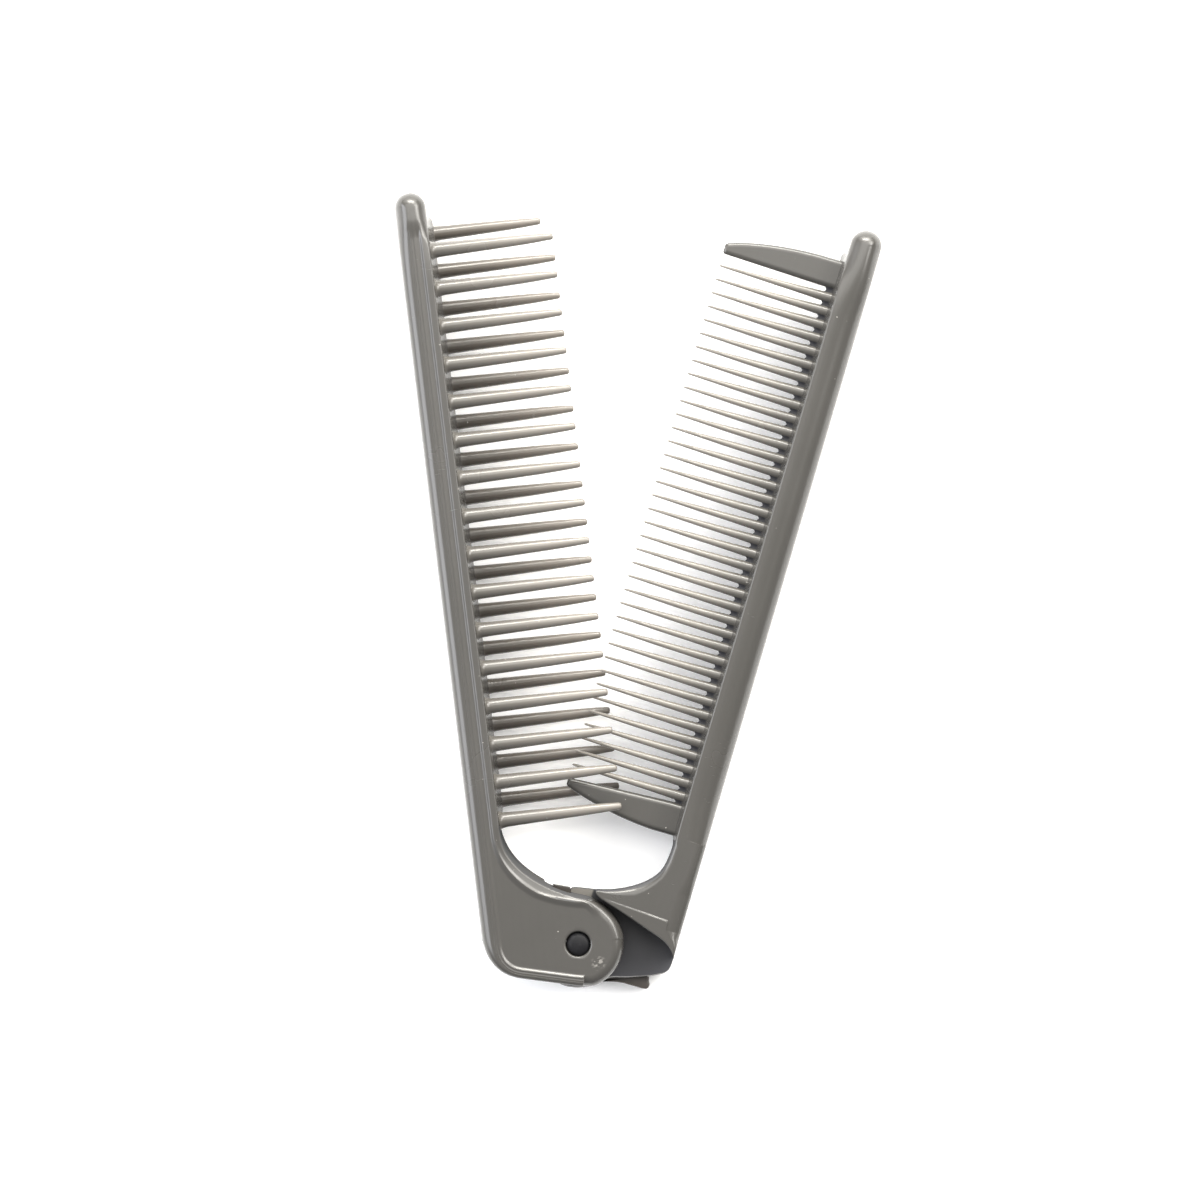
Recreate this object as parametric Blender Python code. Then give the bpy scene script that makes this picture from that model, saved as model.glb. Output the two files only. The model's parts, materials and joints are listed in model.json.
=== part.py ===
"""Folding travel comb: a brush half with two rows of thick teeth, a fine comb half, and the pin they fold on.

Metres, +Z up. The comb lies on its back face on the plane z = 0 and is opened a little, the brush half along +Y.
Each half is drawn in its own frame: the pin at the origin, the spine up +Y, and z = 0 at mid thickness.
The brush half has its spine at -X and its hinge ear in the upper layer. The comb half is the same moulding
turned half way round about Y, so its spine is at +X and its ear is in the lower layer.
"""

import math

import bmesh
import bpy
from mathutils import Matrix, Vector

MM = 0.001

# Hinge
OPENING_ANGLE = math.radians(23.23)
THICKNESS = 11.0 * MM
LAYER_GAP = 0.3 * MM
EAR_RADIUS = 6.05 * MM
BORE_RADIUS = 1.62 * MM
PIN_RADIUS = 1.35 * MM
PIN_END_DEPTH = 0.7 * MM
PIN_DOME = 0.45 * MM

# Spine, measured from the pin
SPINE_OUTER = 12.5 * MM
SPINE_INNER = 8.3 * MM
SPINE_TOP = 100.2 * MM
SPINE_WIDTH = SPINE_OUTER - SPINE_INNER
EDGE_ROUND = 0.9 * MM

# Rim and sunk panel of the hub
RIM_LINE = 10.3 * MM
GROOVE_LINE = 9.45 * MM
RIM_HEIGHT = 0.35 * MM
GROOVE_TOP = 95.5 * MM
FACET_TOP = 6.2 * MM
CUT_MARGIN = 2.0 * MM

# Thick teeth of the brush half: two staggered rows
THICK_TEETH = 32
THICK_FIRST_Y = 94.5 * MM
THICK_PITCH = 2.5 * MM
THICK_ROW_Z = 3.4 * MM
THICK_TIP_X = 7.8 * MM
THICK_FIRST_TIP_X = 6.4 * MM
THICK_ROOT_RADIUS = 0.95 * MM
THICK_NECK_RADIUS = 0.82 * MM
THICK_TIP_RADIUS = 0.55 * MM
THICK_DEPTH_RATIO = 1.15
THICK_SIDES = 10

# Fine teeth of the comb half: one row on the mid plane, between two guards
FINE_TEETH = 38
FINE_FIRST_Y = 90.4 * MM
FINE_LAST_Y = 22.2 * MM
FINE_PITCH = (FINE_FIRST_Y - FINE_LAST_Y) / (FINE_TEETH - 1)
FINE_TIP_X = -7.35 * MM
WEB_X = 7.0 * MM
FINE_ROOT_WIDTH = 1.3 * MM
FINE_NECK_X = 5.5 * MM
FINE_NECK_WIDTH = 1.05 * MM
FINE_MIDDLE_X = 0.3 * MM
FINE_MIDDLE_WIDTH = 0.72 * MM
FINE_TIP_WIDTH = 0.36 * MM
FINE_ROOT_DEPTH = 1.15 * MM
FINE_TIP_DEPTH = 0.5 * MM
UPPER_GUARD_INNER_Y = 91.6 * MM
UPPER_GUARD_OUTER_Y = 95.5 * MM
LOWER_GUARD_INNER_Y = 21.2 * MM
LOWER_GUARD_OUTER_Y = 16.9 * MM

SINK = 1.2 * MM
PLASTIC = (0.168, 0.159, 0.147, 1.0)
PIN_METAL = (0.024, 0.024, 0.027, 1.0)


def arc(centre, radius, start, end, steps):
    """Points of an arc, from the start angle to the end angle in degrees, both included."""
    angles = [math.radians(start + (end - start) * i / steps) for i in range(steps + 1)]
    return [(centre[0] + radius * math.cos(a), centre[1] + radius * math.sin(a)) for a in angles]


def curve(points, steps):
    """Points of the cubic Bezier curve through four handles given in millimetres, ends included."""
    handles = [Vector(p) * MM for p in points]
    found = []
    for i in range(steps + 1):
        t = i / steps
        weights = ((1 - t) ** 3, 3 * t * (1 - t) ** 2, 3 * t * t * (1 - t), t**3)
        place = sum((w * h for w, h in zip(weights, handles)), Vector((0.0, 0.0)))
        found.append((place.x, place.y))
    return found


def half_outline():
    """Outline of the brush half without its teeth: arch, ear, slanted foot, corner, spine and round end."""
    arch = curve([(-8.3, 16.5), (-8.3, 11.2), (-3.05, 7.82), (0.9, 6.38)], 12)
    shoulder = curve([(0.9, 6.38), (2.2, 6.05), (3.75, 5.15), (4.5, 4.05)], 5)[1:]
    ear = arc((0.0, 0.0), EAR_RADIUS, 36, -78, 14)
    foot = [(-0.9 * MM, -5.55 * MM)]
    corner = curve([(-7.8, -3.78), (-10.6, -3.1), (-12.5, -1.2), (-12.5, 2.6)], 8)
    middle = SPINE_INNER + SPINE_WIDTH / 2
    cap = arc((-middle, SPINE_TOP - SPINE_WIDTH / 2), SPINE_WIDTH / 2, 180, 0, 12)
    return arch + shoulder + ear + foot + corner + cap


def parting_curve(tip_x):
    """The S-shaped line where the layer that has no ear stops, from its tip at the arch to the outer side."""
    first = [(tip_x * MM, 9.0 * MM), (tip_x * MM, 6.62 * MM)]
    slope = [(-4.1 * MM, 5.6 * MM), (-8.0 * MM, 4.35 * MM)]
    shoulder = curve([(-9.6, 3.85), (-11.3, 3.3), (-12.4, 2.4), (-12.9, 0.6)], 5)
    return first + slope + shoulder


def panel_outline():
    """Sunk panel on the face of the ear layer, running up the spine as a groove between two rims."""
    top = arc((-(RIM_LINE + GROOVE_LINE) / 2, GROOVE_TOP), (RIM_LINE - GROOVE_LINE) / 2, 180, 0, 4)
    inner = curve([(-9.45, 17.0), (-9.45, 8.6), (-4.2, 5.8), (2.8, 4.5)], 9)
    ear = [(4.3 * MM, 4.6 * MM), (8.0 * MM, 5.0 * MM), (8.0 * MM, -8.0 * MM), (0.1 * MM, -8.0 * MM)]
    foot = [(0.1 * MM, -4.5 * MM)]
    corner = curve([(-8.0, -2.4), (-9.6, -2.0), (-10.3, -1.0), (-10.3, 1.5)], 5)
    return top + inner + ear + foot + corner


def back_outline():
    """Lowered strip on the other face: all of the spine inside its rim line, down to the facet at the hub."""
    end = SPINE_TOP - 3.2 * MM
    far = 12.0 * MM
    return [(-RIM_LINE, FACET_TOP), (far, FACET_TOP), (far, end), (-RIM_LINE, end)]


def plate(outline, low, high):
    """A closed mesh of an outline pulled from one height to another, faces out."""
    mesh = bmesh.new()
    corners = [mesh.verts.new((x, y, low)) for x, y in outline]
    face = mesh.faces.new(corners)
    pulled = bmesh.ops.extrude_face_region(mesh, geom=[face])["geom"]
    raised = [g for g in pulled if isinstance(g, bmesh.types.BMVert)]
    bmesh.ops.translate(mesh, verts=raised, vec=(0.0, 0.0, high - low))
    bmesh.ops.recalc_face_normals(mesh, faces=mesh.faces)
    return mesh


def rod(mesh, rings, sides):
    """Adds a closed rod along X to the mesh. A ring is (x, half width in Y, half width in Z), centre (y, z)."""
    loops = []
    for x, wide, deep, y, z in rings:
        angles = [2 * math.pi * i / sides for i in range(sides)]
        loops.append([mesh.verts.new((x, y + wide * math.cos(a), z + deep * math.sin(a))) for a in angles])
    for near, far in zip(loops, loops[1:]):
        for i in range(sides):
            j = (i + 1) % sides
            mesh.faces.new((near[i], near[j], far[j], far[i]))
    mesh.faces.new(loops[0])
    mesh.faces.new(list(reversed(loops[-1])))


def thick_teeth():
    """Both rows of round, tapered teeth. Even ones are in the lower row, odd ones in the upper row."""
    mesh = bmesh.new()
    for i in range(THICK_TEETH):
        y = THICK_FIRST_Y - i * THICK_PITCH
        z = THICK_ROW_Z if i % 2 else -THICK_ROW_Z
        tip = THICK_TIP_X if i else THICK_FIRST_TIP_X
        stations = (
            (-SPINE_INNER - SINK, THICK_ROOT_RADIUS),
            (-SPINE_INNER, THICK_ROOT_RADIUS),
            (tip - 5.5 * MM, THICK_NECK_RADIUS),
            (tip - 0.45 * MM, THICK_TIP_RADIUS),
            (tip, 0.45 * THICK_TIP_RADIUS),
        )
        rings = []
        for x, radius in stations:
            deep = radius * (THICK_DEPTH_RATIO if x < 0.0 else 1.0)
            rings.append((x, radius, deep, y, z))
        rod(mesh, rings, THICK_SIDES)
    bmesh.ops.recalc_face_normals(mesh, faces=mesh.faces)
    return mesh


def gap_end(upper, lower):
    """The round root end of the gap between two teeth, drawn downward between their Y edges."""
    middle = (upper + lower) / 2
    half = (upper - lower) / 2
    angles = [math.radians(90 - 45 * i) for i in range(5)]
    return [(WEB_X - half + half * math.cos(a), middle + half * math.sin(a)) for a in angles]


def fine_outline():
    """Outline of the fine teeth, their web and the two guards, drawn downward along the tips."""
    root = SPINE_INNER + SINK
    tip = FINE_TIP_X
    upper = [(root, UPPER_GUARD_OUTER_Y), (SPINE_INNER, UPPER_GUARD_OUTER_Y)]
    upper += curve([(5.0, 95.5), (0.5, 95.4), (-4.0, 94.7), (-7.2, 93.5)], 6)
    upper += [(tip, UPPER_GUARD_INNER_Y + 0.4 * MM), (WEB_X - 0.5 * MM, UPPER_GUARD_INNER_Y)]
    points = upper
    above = UPPER_GUARD_INNER_Y
    for i in range(FINE_TEETH):
        y = FINE_FIRST_Y - i * FINE_PITCH
        points += gap_end(above, y + FINE_ROOT_WIDTH / 2)
        points += [(FINE_NECK_X, y + FINE_NECK_WIDTH / 2), (FINE_MIDDLE_X, y + FINE_MIDDLE_WIDTH / 2)]
        points += [(tip, y + FINE_TIP_WIDTH / 2), (tip, y - FINE_TIP_WIDTH / 2)]
        points += [(FINE_MIDDLE_X, y - FINE_MIDDLE_WIDTH / 2), (FINE_NECK_X, y - FINE_NECK_WIDTH / 2)]
        above = y - FINE_ROOT_WIDTH / 2
    points += gap_end(above, LOWER_GUARD_INNER_Y)
    points += [(WEB_X - 0.6 * MM, LOWER_GUARD_INNER_Y), (tip, LOWER_GUARD_INNER_Y - 0.8 * MM)]
    points += curve([(-7.3, 19.3), (-4.0, 18.1), (0.5, 17.1), (5.0, 16.9)], 6)
    points += [(SPINE_INNER, LOWER_GUARD_OUTER_Y), (root, LOWER_GUARD_OUTER_Y)]
    return points


def fine_teeth():
    """The fine row as one plate, thinned evenly toward the tips."""
    mesh = plate(fine_outline(), -1.0, 1.0)
    slope = (FINE_ROOT_DEPTH - FINE_TIP_DEPTH) / (SPINE_INNER - FINE_TIP_X)
    for vertex in mesh.verts:
        vertex.co.z *= FINE_TIP_DEPTH + slope * (vertex.co.x - FINE_TIP_X)
    return mesh


def stop_tab():
    """Outline of the small stop at the foot of the comb half, which meets the brush half fully open."""
    return [
        (4.2 * MM, -4.1 * MM),
        (7.0 * MM, -3.95 * MM),
        (9.9 * MM, -3.35 * MM),
        (10.55 * MM, -3.2 * MM),
        (10.75 * MM, -2.6 * MM),
        (10.3 * MM, -1.2 * MM),
        (8.5 * MM, -1.2 * MM),
    ]


def new_object(name, mesh, colour=None):
    """Links an object made from a bmesh. Without a colour it is a cutter or a piece to be joined, left unseen."""
    data = bpy.data.meshes.new(name)
    mesh.to_mesh(data)
    mesh.free()
    data.shade_smooth()
    data.set_sharp_from_angle(angle=math.radians(35))
    thing = bpy.data.objects.new(name, data)
    bpy.context.scene.collection.objects.link(thing)
    if colour is None:
        thing.hide_render = True
        thing.display_type = "WIRE"
    else:
        data.materials.append(colour)
    return thing


def principled(name, colour, roughness, metallic):
    """A material with one Principled BSDF."""
    material = bpy.data.materials.new(name)
    material.use_nodes = True
    shader = material.node_tree.nodes["Principled BSDF"]
    shader.inputs["Base Color"].default_value = colour
    shader.inputs["Roughness"].default_value = roughness
    shader.inputs["Metallic"].default_value = metallic
    return material


def combine(thing, other, operation):
    """Adds a Boolean with an unseen object, which follows the thing it shapes."""
    other.parent = thing
    modifier = thing.modifiers.new(other.name, "BOOLEAN")
    modifier.operation = operation
    modifier.solver = "EXACT"
    modifier.object = other


def build_half(name, tip_x, colour):
    """The moulding that both halves share, drawn as the brush half, with its rim, panel, pocket and bore."""
    half = THICKNESS / 2
    thing = new_object(name, plate(half_outline(), -half, half), colour)
    bevel = thing.modifiers.new("edge_round", "BEVEL")
    bevel.width = EDGE_ROUND
    bevel.segments = 2
    bevel.limit_method = "ANGLE"
    bevel.angle_limit = math.radians(50)
    far = half + CUT_MARGIN
    panel = new_object(f"{name}_panel_cutter", plate(panel_outline(), half - RIM_HEIGHT, far))
    combine(thing, panel, "DIFFERENCE")
    back = new_object(f"{name}_back_cutter", plate(back_outline(), -far, -half + RIM_HEIGHT))
    combine(thing, back, "DIFFERENCE")
    below = [(-16.0 * MM, 0.6 * MM), (-16.0 * MM, -9.0 * MM), (9.0 * MM, -9.0 * MM), (9.0 * MM, 9.0 * MM)]
    pocket = new_object(
        f"{name}_pocket_cutter", plate(parting_curve(tip_x) + below, -far, LAYER_GAP / 2)
    )
    combine(thing, pocket, "DIFFERENCE")
    bore = bmesh.new()
    bmesh.ops.create_cone(
        bore, cap_ends=True, segments=32, radius1=BORE_RADIUS, radius2=BORE_RADIUS, depth=4 * half
    )
    combine(thing, new_object(f"{name}_bore_cutter", bore), "DIFFERENCE")
    return thing


def build_brush_half(colour):
    """The half with the upper ear and the two rows of thick teeth."""
    thing = build_half("brush_half", -2.4, colour)
    combine(thing, new_object("brush_teeth", thick_teeth()), "UNION")
    return thing


def build_comb_half(colour):
    """The half with the lower ear, the fine row, its guards and the stop."""
    thing = build_half("comb_half", -0.95, colour)
    half = THICKNESS / 2
    turned = Matrix.Rotation(math.pi, 4, "Y")
    for piece in [thing, *thing.children]:
        piece.data.transform(turned)
    combine(thing, new_object("comb_teeth", fine_teeth()), "UNION")
    tab = new_object("stop_tab", plate(stop_tab(), -half + 0.3 * MM, -2.3 * MM))
    combine(thing, tab, "UNION")
    return thing


def build_pin(colour):
    """The turned pin: a shank with a low dome at each end."""
    end = THICKNESS / 2 - PIN_END_DEPTH
    profile = [(0.0, end), (0.45 * PIN_RADIUS, end - 0.12 * PIN_DOME), (0.8 * PIN_RADIUS, end - 0.45 * PIN_DOME)]
    profile.append((PIN_RADIUS, end - PIN_DOME))
    sides = 24
    mesh = bmesh.new()
    rings = [*profile, *[(r, -z) for r, z in reversed(profile)]]
    loops = []
    for radius, z in rings:
        if radius == 0.0:
            loops.append([mesh.verts.new((0.0, 0.0, z))] * sides)
            continue
        angles = [2 * math.pi * i / sides for i in range(sides)]
        loops.append([mesh.verts.new((radius * math.cos(a), radius * math.sin(a), z)) for a in angles])
    for near, far in zip(loops, loops[1:]):
        for i in range(sides):
            j = (i + 1) % sides
            corners = list(dict.fromkeys((near[i], near[j], far[j], far[i])))
            mesh.faces.new(corners)
    bmesh.ops.recalc_face_normals(mesh, faces=mesh.faces)
    return new_object("hinge_pin", mesh, colour)


def stand_on_origin(axis, things):
    """Moves the hinge axis so that the object's box stands on z = 0, centred on the origin."""
    bpy.context.view_layer.update()
    graph = bpy.context.evaluated_depsgraph_get()
    corners = []
    for thing in things:
        seen = thing.evaluated_get(graph)
        corners += [seen.matrix_world @ v.co for v in seen.data.vertices]
    low = Vector([min(c[i] for c in corners) for i in range(3)])
    high = Vector([max(c[i] for c in corners) for i in range(3)])
    middle = (low + high) / 2
    axis.location -= Vector((middle.x, middle.y, low.z))
    bpy.context.view_layer.update()
    print("pin axis at", [round(c / MM, 3) for c in axis.location], "mm")
    print("size", [round(c / MM, 3) for c in high - low], "mm")


def main():
    for thing in list(bpy.data.objects):
        bpy.data.objects.remove(thing)
    plastic = principled("grey_plastic", PLASTIC, 0.38, 0.0)
    metal = principled("dark_metal", PIN_METAL, 0.3, 1.0)
    axis = bpy.data.objects.new("fold_axis", None)
    bpy.context.scene.collection.objects.link(axis)
    brush = build_brush_half(plastic)
    comb = build_comb_half(plastic)
    pin = build_pin(metal)
    for thing in (brush, comb, pin):
        thing.parent = axis
    comb.rotation_euler = (0.0, 0.0, -OPENING_ANGLE)
    stand_on_origin(axis, (brush, comb, pin))


main()
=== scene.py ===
"""Folding travel comb, dressed: two grey satin mouldings, with thick and with fine teeth, on a dark pin.

Shapes are worked out in millimetres in a half's own frame: the pin at the origin, the spine up +Y, z = 0 at
mid thickness, drawn as the half with thick teeth, whose spine is at -X and whose hinge ear is the upper
layer. The half with fine teeth is the same moulding turned half way round about Y and swung open. A Seat
carries both to the frame.
"""

import json
import logging
import math
from dataclasses import dataclass
from enum import Enum

import bmesh
import bpy
import numpy as np
from mathutils import Matrix, Vector


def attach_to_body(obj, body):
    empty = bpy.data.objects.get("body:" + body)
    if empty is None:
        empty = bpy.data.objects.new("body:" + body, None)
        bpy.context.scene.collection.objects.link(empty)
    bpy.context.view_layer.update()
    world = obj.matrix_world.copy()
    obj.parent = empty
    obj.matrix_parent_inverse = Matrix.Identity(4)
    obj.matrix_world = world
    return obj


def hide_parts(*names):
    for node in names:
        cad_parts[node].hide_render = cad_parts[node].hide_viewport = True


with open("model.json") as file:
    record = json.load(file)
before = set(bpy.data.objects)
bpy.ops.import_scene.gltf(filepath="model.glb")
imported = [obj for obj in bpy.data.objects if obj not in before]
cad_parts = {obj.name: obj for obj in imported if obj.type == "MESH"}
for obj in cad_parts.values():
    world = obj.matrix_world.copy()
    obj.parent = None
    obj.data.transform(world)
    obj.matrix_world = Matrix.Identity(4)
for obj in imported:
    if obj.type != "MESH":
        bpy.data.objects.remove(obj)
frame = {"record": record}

log = logging.getLogger("folding_comb")

Span = tuple[float, float]
Place = tuple[float, float, float]
Colour = tuple[float, float, float]

MM = 0.001
WELD = 1e-6
SMOOTH_ANGLE = math.radians(38)
HALF_TURN = np.array([-1.0, 1.0, -1.0])
UNHELD = 100.0


def bezier(handles: tuple, steps: int) -> np.ndarray:
    """Points on a cubic Bezier: handles times the weights (1-t)^3, 3t(1-t)^2, 3t^2(1-t) and t^3.

    Args:
        handles: the four handles.
        steps: number of equal steps of t.

    Returns:
        Array of steps + 1 points.
    """
    t = np.linspace(0.0, 1.0, steps + 1)[:, None]
    p = np.array(handles, float)
    return (1 - t) ** 3 * p[0] + 3 * t * (1 - t) ** 2 * p[1] + 3 * t**2 * (1 - t) * p[2] + t**3 * p[3]


def arc(centre: Span, radius: float, start: float, end: float, steps: int) -> np.ndarray:
    """Points on an arc: centre + radius (cos a, sin a), with a running evenly from start to end.

    Args:
        centre: centre of the arc.
        radius: its radius.
        start: first angle in degrees.
        end: last angle in degrees.
        steps: number of equal steps.

    Returns:
        Array of steps + 1 points.
    """
    a = np.radians(np.linspace(start, end, steps + 1))
    return np.stack([centre[0] + radius * np.cos(a), centre[1] + radius * np.sin(a)], axis=1)


def full_turn(count: int) -> np.ndarray:
    """Angles spaced evenly once round, as one row."""
    return np.linspace(0.0, 2.0 * math.pi, count, endpoint=False)[None]


def chain(*runs: np.ndarray) -> np.ndarray:
    """Joins runs of points into one path and drops a point that repeats the one before it."""
    path = np.concatenate([np.atleast_2d(np.array(run, float)) for run in runs])
    apart = np.linalg.norm(np.diff(path, axis=0), axis=1) > 1e-6
    return path[np.concatenate([[True], apart])]


def length_so_far(path: np.ndarray) -> np.ndarray:
    """Length of a path from its start to each of its points."""
    return np.concatenate([[0.0], np.cumsum(np.linalg.norm(np.diff(path, axis=0), axis=1))])


def spread(path: np.ndarray, count: int) -> np.ndarray:
    """Points along a path at equal fractions of its length, by linear interpolation on the length so far.

    Args:
        path: the path's points.
        count: number of points wanted, ends included.

    Returns:
        Array of count points.
    """
    run = length_so_far(path)
    at = np.linspace(0.0, run[-1], count)
    return np.stack([np.interp(at, run, path[:, 0]), np.interp(at, run, path[:, 1])], axis=1)


def soften(path: np.ndarray, reach: int) -> np.ndarray:
    """Rounds a path's corners: each point becomes the mean of those up to reach places before and after.

    Args:
        path: evenly spaced points.
        reach: number of points on either side, fewer near the ends so that these stay.

    Returns:
        Array of as many points.
    """
    total = np.concatenate([np.zeros((1, 2)), np.cumsum(path, axis=0)])
    place = np.arange(len(path))
    span = np.minimum(reach, np.minimum(place, len(path) - 1 - place))
    return (total[place + span + 1] - total[place - span]) / (2 * span + 1)[:, None]


def ease(value: np.ndarray, start: float, end: float) -> np.ndarray:
    """Smooth step: 0 up to start, 1 from end, 3t^2 - 2t^3 of the fraction t between. The end may be lower."""
    t = np.clip((np.asarray(value, float) - start) / (end - start), 0.0, 1.0)
    return t * t * (3.0 - 2.0 * t)


def blend(first: np.ndarray | float, second: np.ndarray | float, amount: np.ndarray) -> np.ndarray:
    """The first value where the amount is 0, the second where it is 1, and in proportion between."""
    return first * (1.0 - amount) + second * amount


def inward(path: np.ndarray, side: float) -> np.ndarray:
    """Unit normals of a path: the tangent by central differences, turned a quarter to the left times side.

    Args:
        path: the path's points.
        side: 1 for normals on the left of the path, -1 for the right.

    Returns:
        Array of one normal for each point.
    """
    tangent = np.gradient(path, axis=0)
    tangent /= np.linalg.norm(tangent, axis=1)[:, None]
    return side * np.stack([-tangent[:, 1], tangent[:, 0]], axis=1)


def room(rail: np.ndarray, normal: np.ndarray, nearby: int = 6, smoothed: int = 3) -> np.ndarray:
    """How far each row's profile may reach in: where neighbouring normals meet, the least of nearby rows.

    An offset by d shrinks the spacing of a rail's points to 1 - d k of it, where k is the normals' change
    along the tangent, so they meet at 1 / k.

    Args:
        rail: the rail's points.
        normal: its inward normals.
        nearby: number of rows on either side whose radius counts too.
        smoothed: number of rows on either side over which the result is averaged.

    Returns:
        Array of one distance for each row.
    """
    step = np.gradient(rail, axis=0)
    run = np.linalg.norm(step, axis=1)
    closing = -np.einsum("ij,ij->i", np.gradient(normal, axis=0), step) / run**2
    radius = np.pad(1.0 / np.maximum(closing, 1.0 / UNHELD), nearby, mode="edge")
    least = np.lib.stride_tricks.sliding_window_view(radius, 2 * nearby + 1).min(axis=1)
    least = np.pad(least, smoothed, mode="edge")
    return np.lib.stride_tricks.sliding_window_view(least, 2 * smoothed + 1).mean(axis=1)


def rings_of(x: np.ndarray, y: np.ndarray, z: np.ndarray) -> np.ndarray:
    """Points on rings, from arrays of rings by points. An array of one column is spread over all."""
    return np.stack(np.broadcast_arrays(x, y, z), axis=2)


def stopped(rings: np.ndarray, both: bool = False) -> np.ndarray:
    """Rings closed at the first end, or at both, by one more ring drawn together to the last ring's middle.

    Args:
        rings: array of rings, points and coordinates.
        both: whether the far end is closed too.

    Returns:
        The rings, one or two more.
    """
    ends = (0, -1) if both else (0,)
    stops = [np.broadcast_to(rings[end].mean(axis=0), rings[:1].shape) for end in ends]
    return np.concatenate([stops[0], rings, *stops[1:]])


@dataclass
class Skin:
    """A surface before it becomes a mesh: points in millimetres and four-cornered faces."""

    points: np.ndarray
    faces: np.ndarray

    @staticmethod
    def of_rings(rings: np.ndarray) -> "Skin":
        """Faces between neighbouring rings of points. Each ring is closed on itself.

        Args:
            rings: array of rings, points and coordinates.

        Returns:
            The surface, turned so that its volume is positive.
        """
        rows, columns = rings.shape[:2]
        index = np.arange(rows * columns).reshape(rows, columns)
        index = np.concatenate([index, index[:, :1]], axis=1)
        corners = (index[:-1, :-1], index[:-1, 1:], index[1:, 1:], index[1:, :-1])
        return Skin(rings.reshape(-1, 3), np.stack(corners, axis=-1).reshape(-1, 4)).outward()

    @staticmethod
    def joined(skins: list["Skin"]) -> "Skin":
        """One surface that holds all the given ones."""
        starts = np.cumsum([0] + [len(s.points) for s in skins[:-1]])
        faces = [s.faces + start for s, start in zip(skins, starts)]
        return Skin(np.concatenate([s.points for s in skins]), np.concatenate(faces))

    def outward(self) -> "Skin":
        """The surface, its faces turned over if its signed volume, a sum of corner products, is negative."""
        a, b, c, d = (self.points[self.faces[:, i]] for i in range(4))
        volume = np.einsum("ij,ij->", a, np.cross(b, c)) + np.einsum("ij,ij->", a, np.cross(c, d))
        return self if volume > 0 else Skin(self.points, self.faces[:, [1, 0, 3, 2]])

    def half_turned(self) -> "Skin":
        """The surface turned half way round about Y."""
        return Skin(self.points * HALF_TURN, self.faces)

    def mesh(self, name: str) -> bpy.types.Mesh:
        """The surface as a mesh in metres, repeated points made one, shaded smooth up to the sharp angle.

        Args:
            name: the mesh's name.

        Returns:
            The new mesh.
        """
        data = bpy.data.meshes.new(name)
        data.from_pydata((self.points * MM).tolist(), [], self.faces.tolist())
        shell = bmesh.new()
        shell.from_mesh(data)
        bmesh.ops.remove_doubles(shell, verts=shell.verts, dist=WELD)
        bmesh.ops.dissolve_degenerate(shell, edges=shell.edges, dist=WELD)
        shell.to_mesh(data)
        shell.free()
        data.shade_smooth()
        data.set_sharp_from_angle(angle=SMOOTH_ANGLE)
        return data


class Side(Enum):
    """Which half a seat carries."""

    BRUSH = "brush"
    COMB = "comb"


@dataclass(frozen=True)
class Seat:
    """Where a half lies in the frame: its pin's place in millimetres and, for the comb, its opening."""

    side: Side
    pivot: Place
    opening: float

    def place(self, points: np.ndarray) -> np.ndarray:
        """Carries points from the half to the frame: the comb's go half round about Y, then swing open.

        Args:
            points: array of points in the half's frame.

        Returns:
            The points in the frame, in millimetres.
        """
        if self.side is Side.BRUSH:
            return points + np.array(self.pivot)
        cos, sin = math.cos(self.opening), math.sin(self.opening)
        swing = np.array([[cos, sin, 0.0], [-sin, cos, 0.0], [0.0, 0.0, 1.0]])
        return points * HALF_TURN @ swing.T + np.array(self.pivot)

    def axes(self) -> np.ndarray:
        """The half's own axes in the frame, as rows."""
        return self.place(np.eye(3)) - self.place(np.zeros((3, 3)))

    def seated(self, skin: Skin) -> Skin:
        """The surface carried to the frame. Both turns keep its faces outward."""
        return Skin(self.place(skin.points), skin.faces)


class Signal:
    """A socket's output in a shader, with arithmetic that adds Math nodes."""

    def __init__(self, graph: "Graph", socket: bpy.types.NodeSocket):
        """Wraps a socket of a graph."""
        self.graph = graph
        self.socket = socket

    def _math(self, operation: str, *values: "Signal | float") -> "Signal":
        """One Math node on this signal's graph."""
        return self.graph.node("ShaderNodeMath", {"operation": operation}, dict(enumerate(values)))

    def __add__(self, other: "Signal | float") -> "Signal":
        """self + other."""
        return self._math("ADD", self, other)

    def __radd__(self, other: float) -> "Signal":
        """other + self."""
        return self._math("ADD", other, self)

    def __sub__(self, other: "Signal | float") -> "Signal":
        """self - other."""
        return self._math("SUBTRACT", self, other)

    def __rsub__(self, other: float) -> "Signal":
        """other - self."""
        return self._math("SUBTRACT", other, self)

    def __mul__(self, other: "Signal | float") -> "Signal":
        """self * other."""
        return self._math("MULTIPLY", self, other)

    def __rmul__(self, other: float) -> "Signal":
        """other * self."""
        return self._math("MULTIPLY", other, self)

    def smooth(self, start: float, end: float) -> "Signal":
        """0 up to the start, 1 from the end, smooth between."""
        inputs = {"Value": self, "From Min": start, "From Max": end}
        return self.graph.node("ShaderNodeMapRange", {"interpolation_type": "SMOOTHSTEP"}, inputs)


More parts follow.
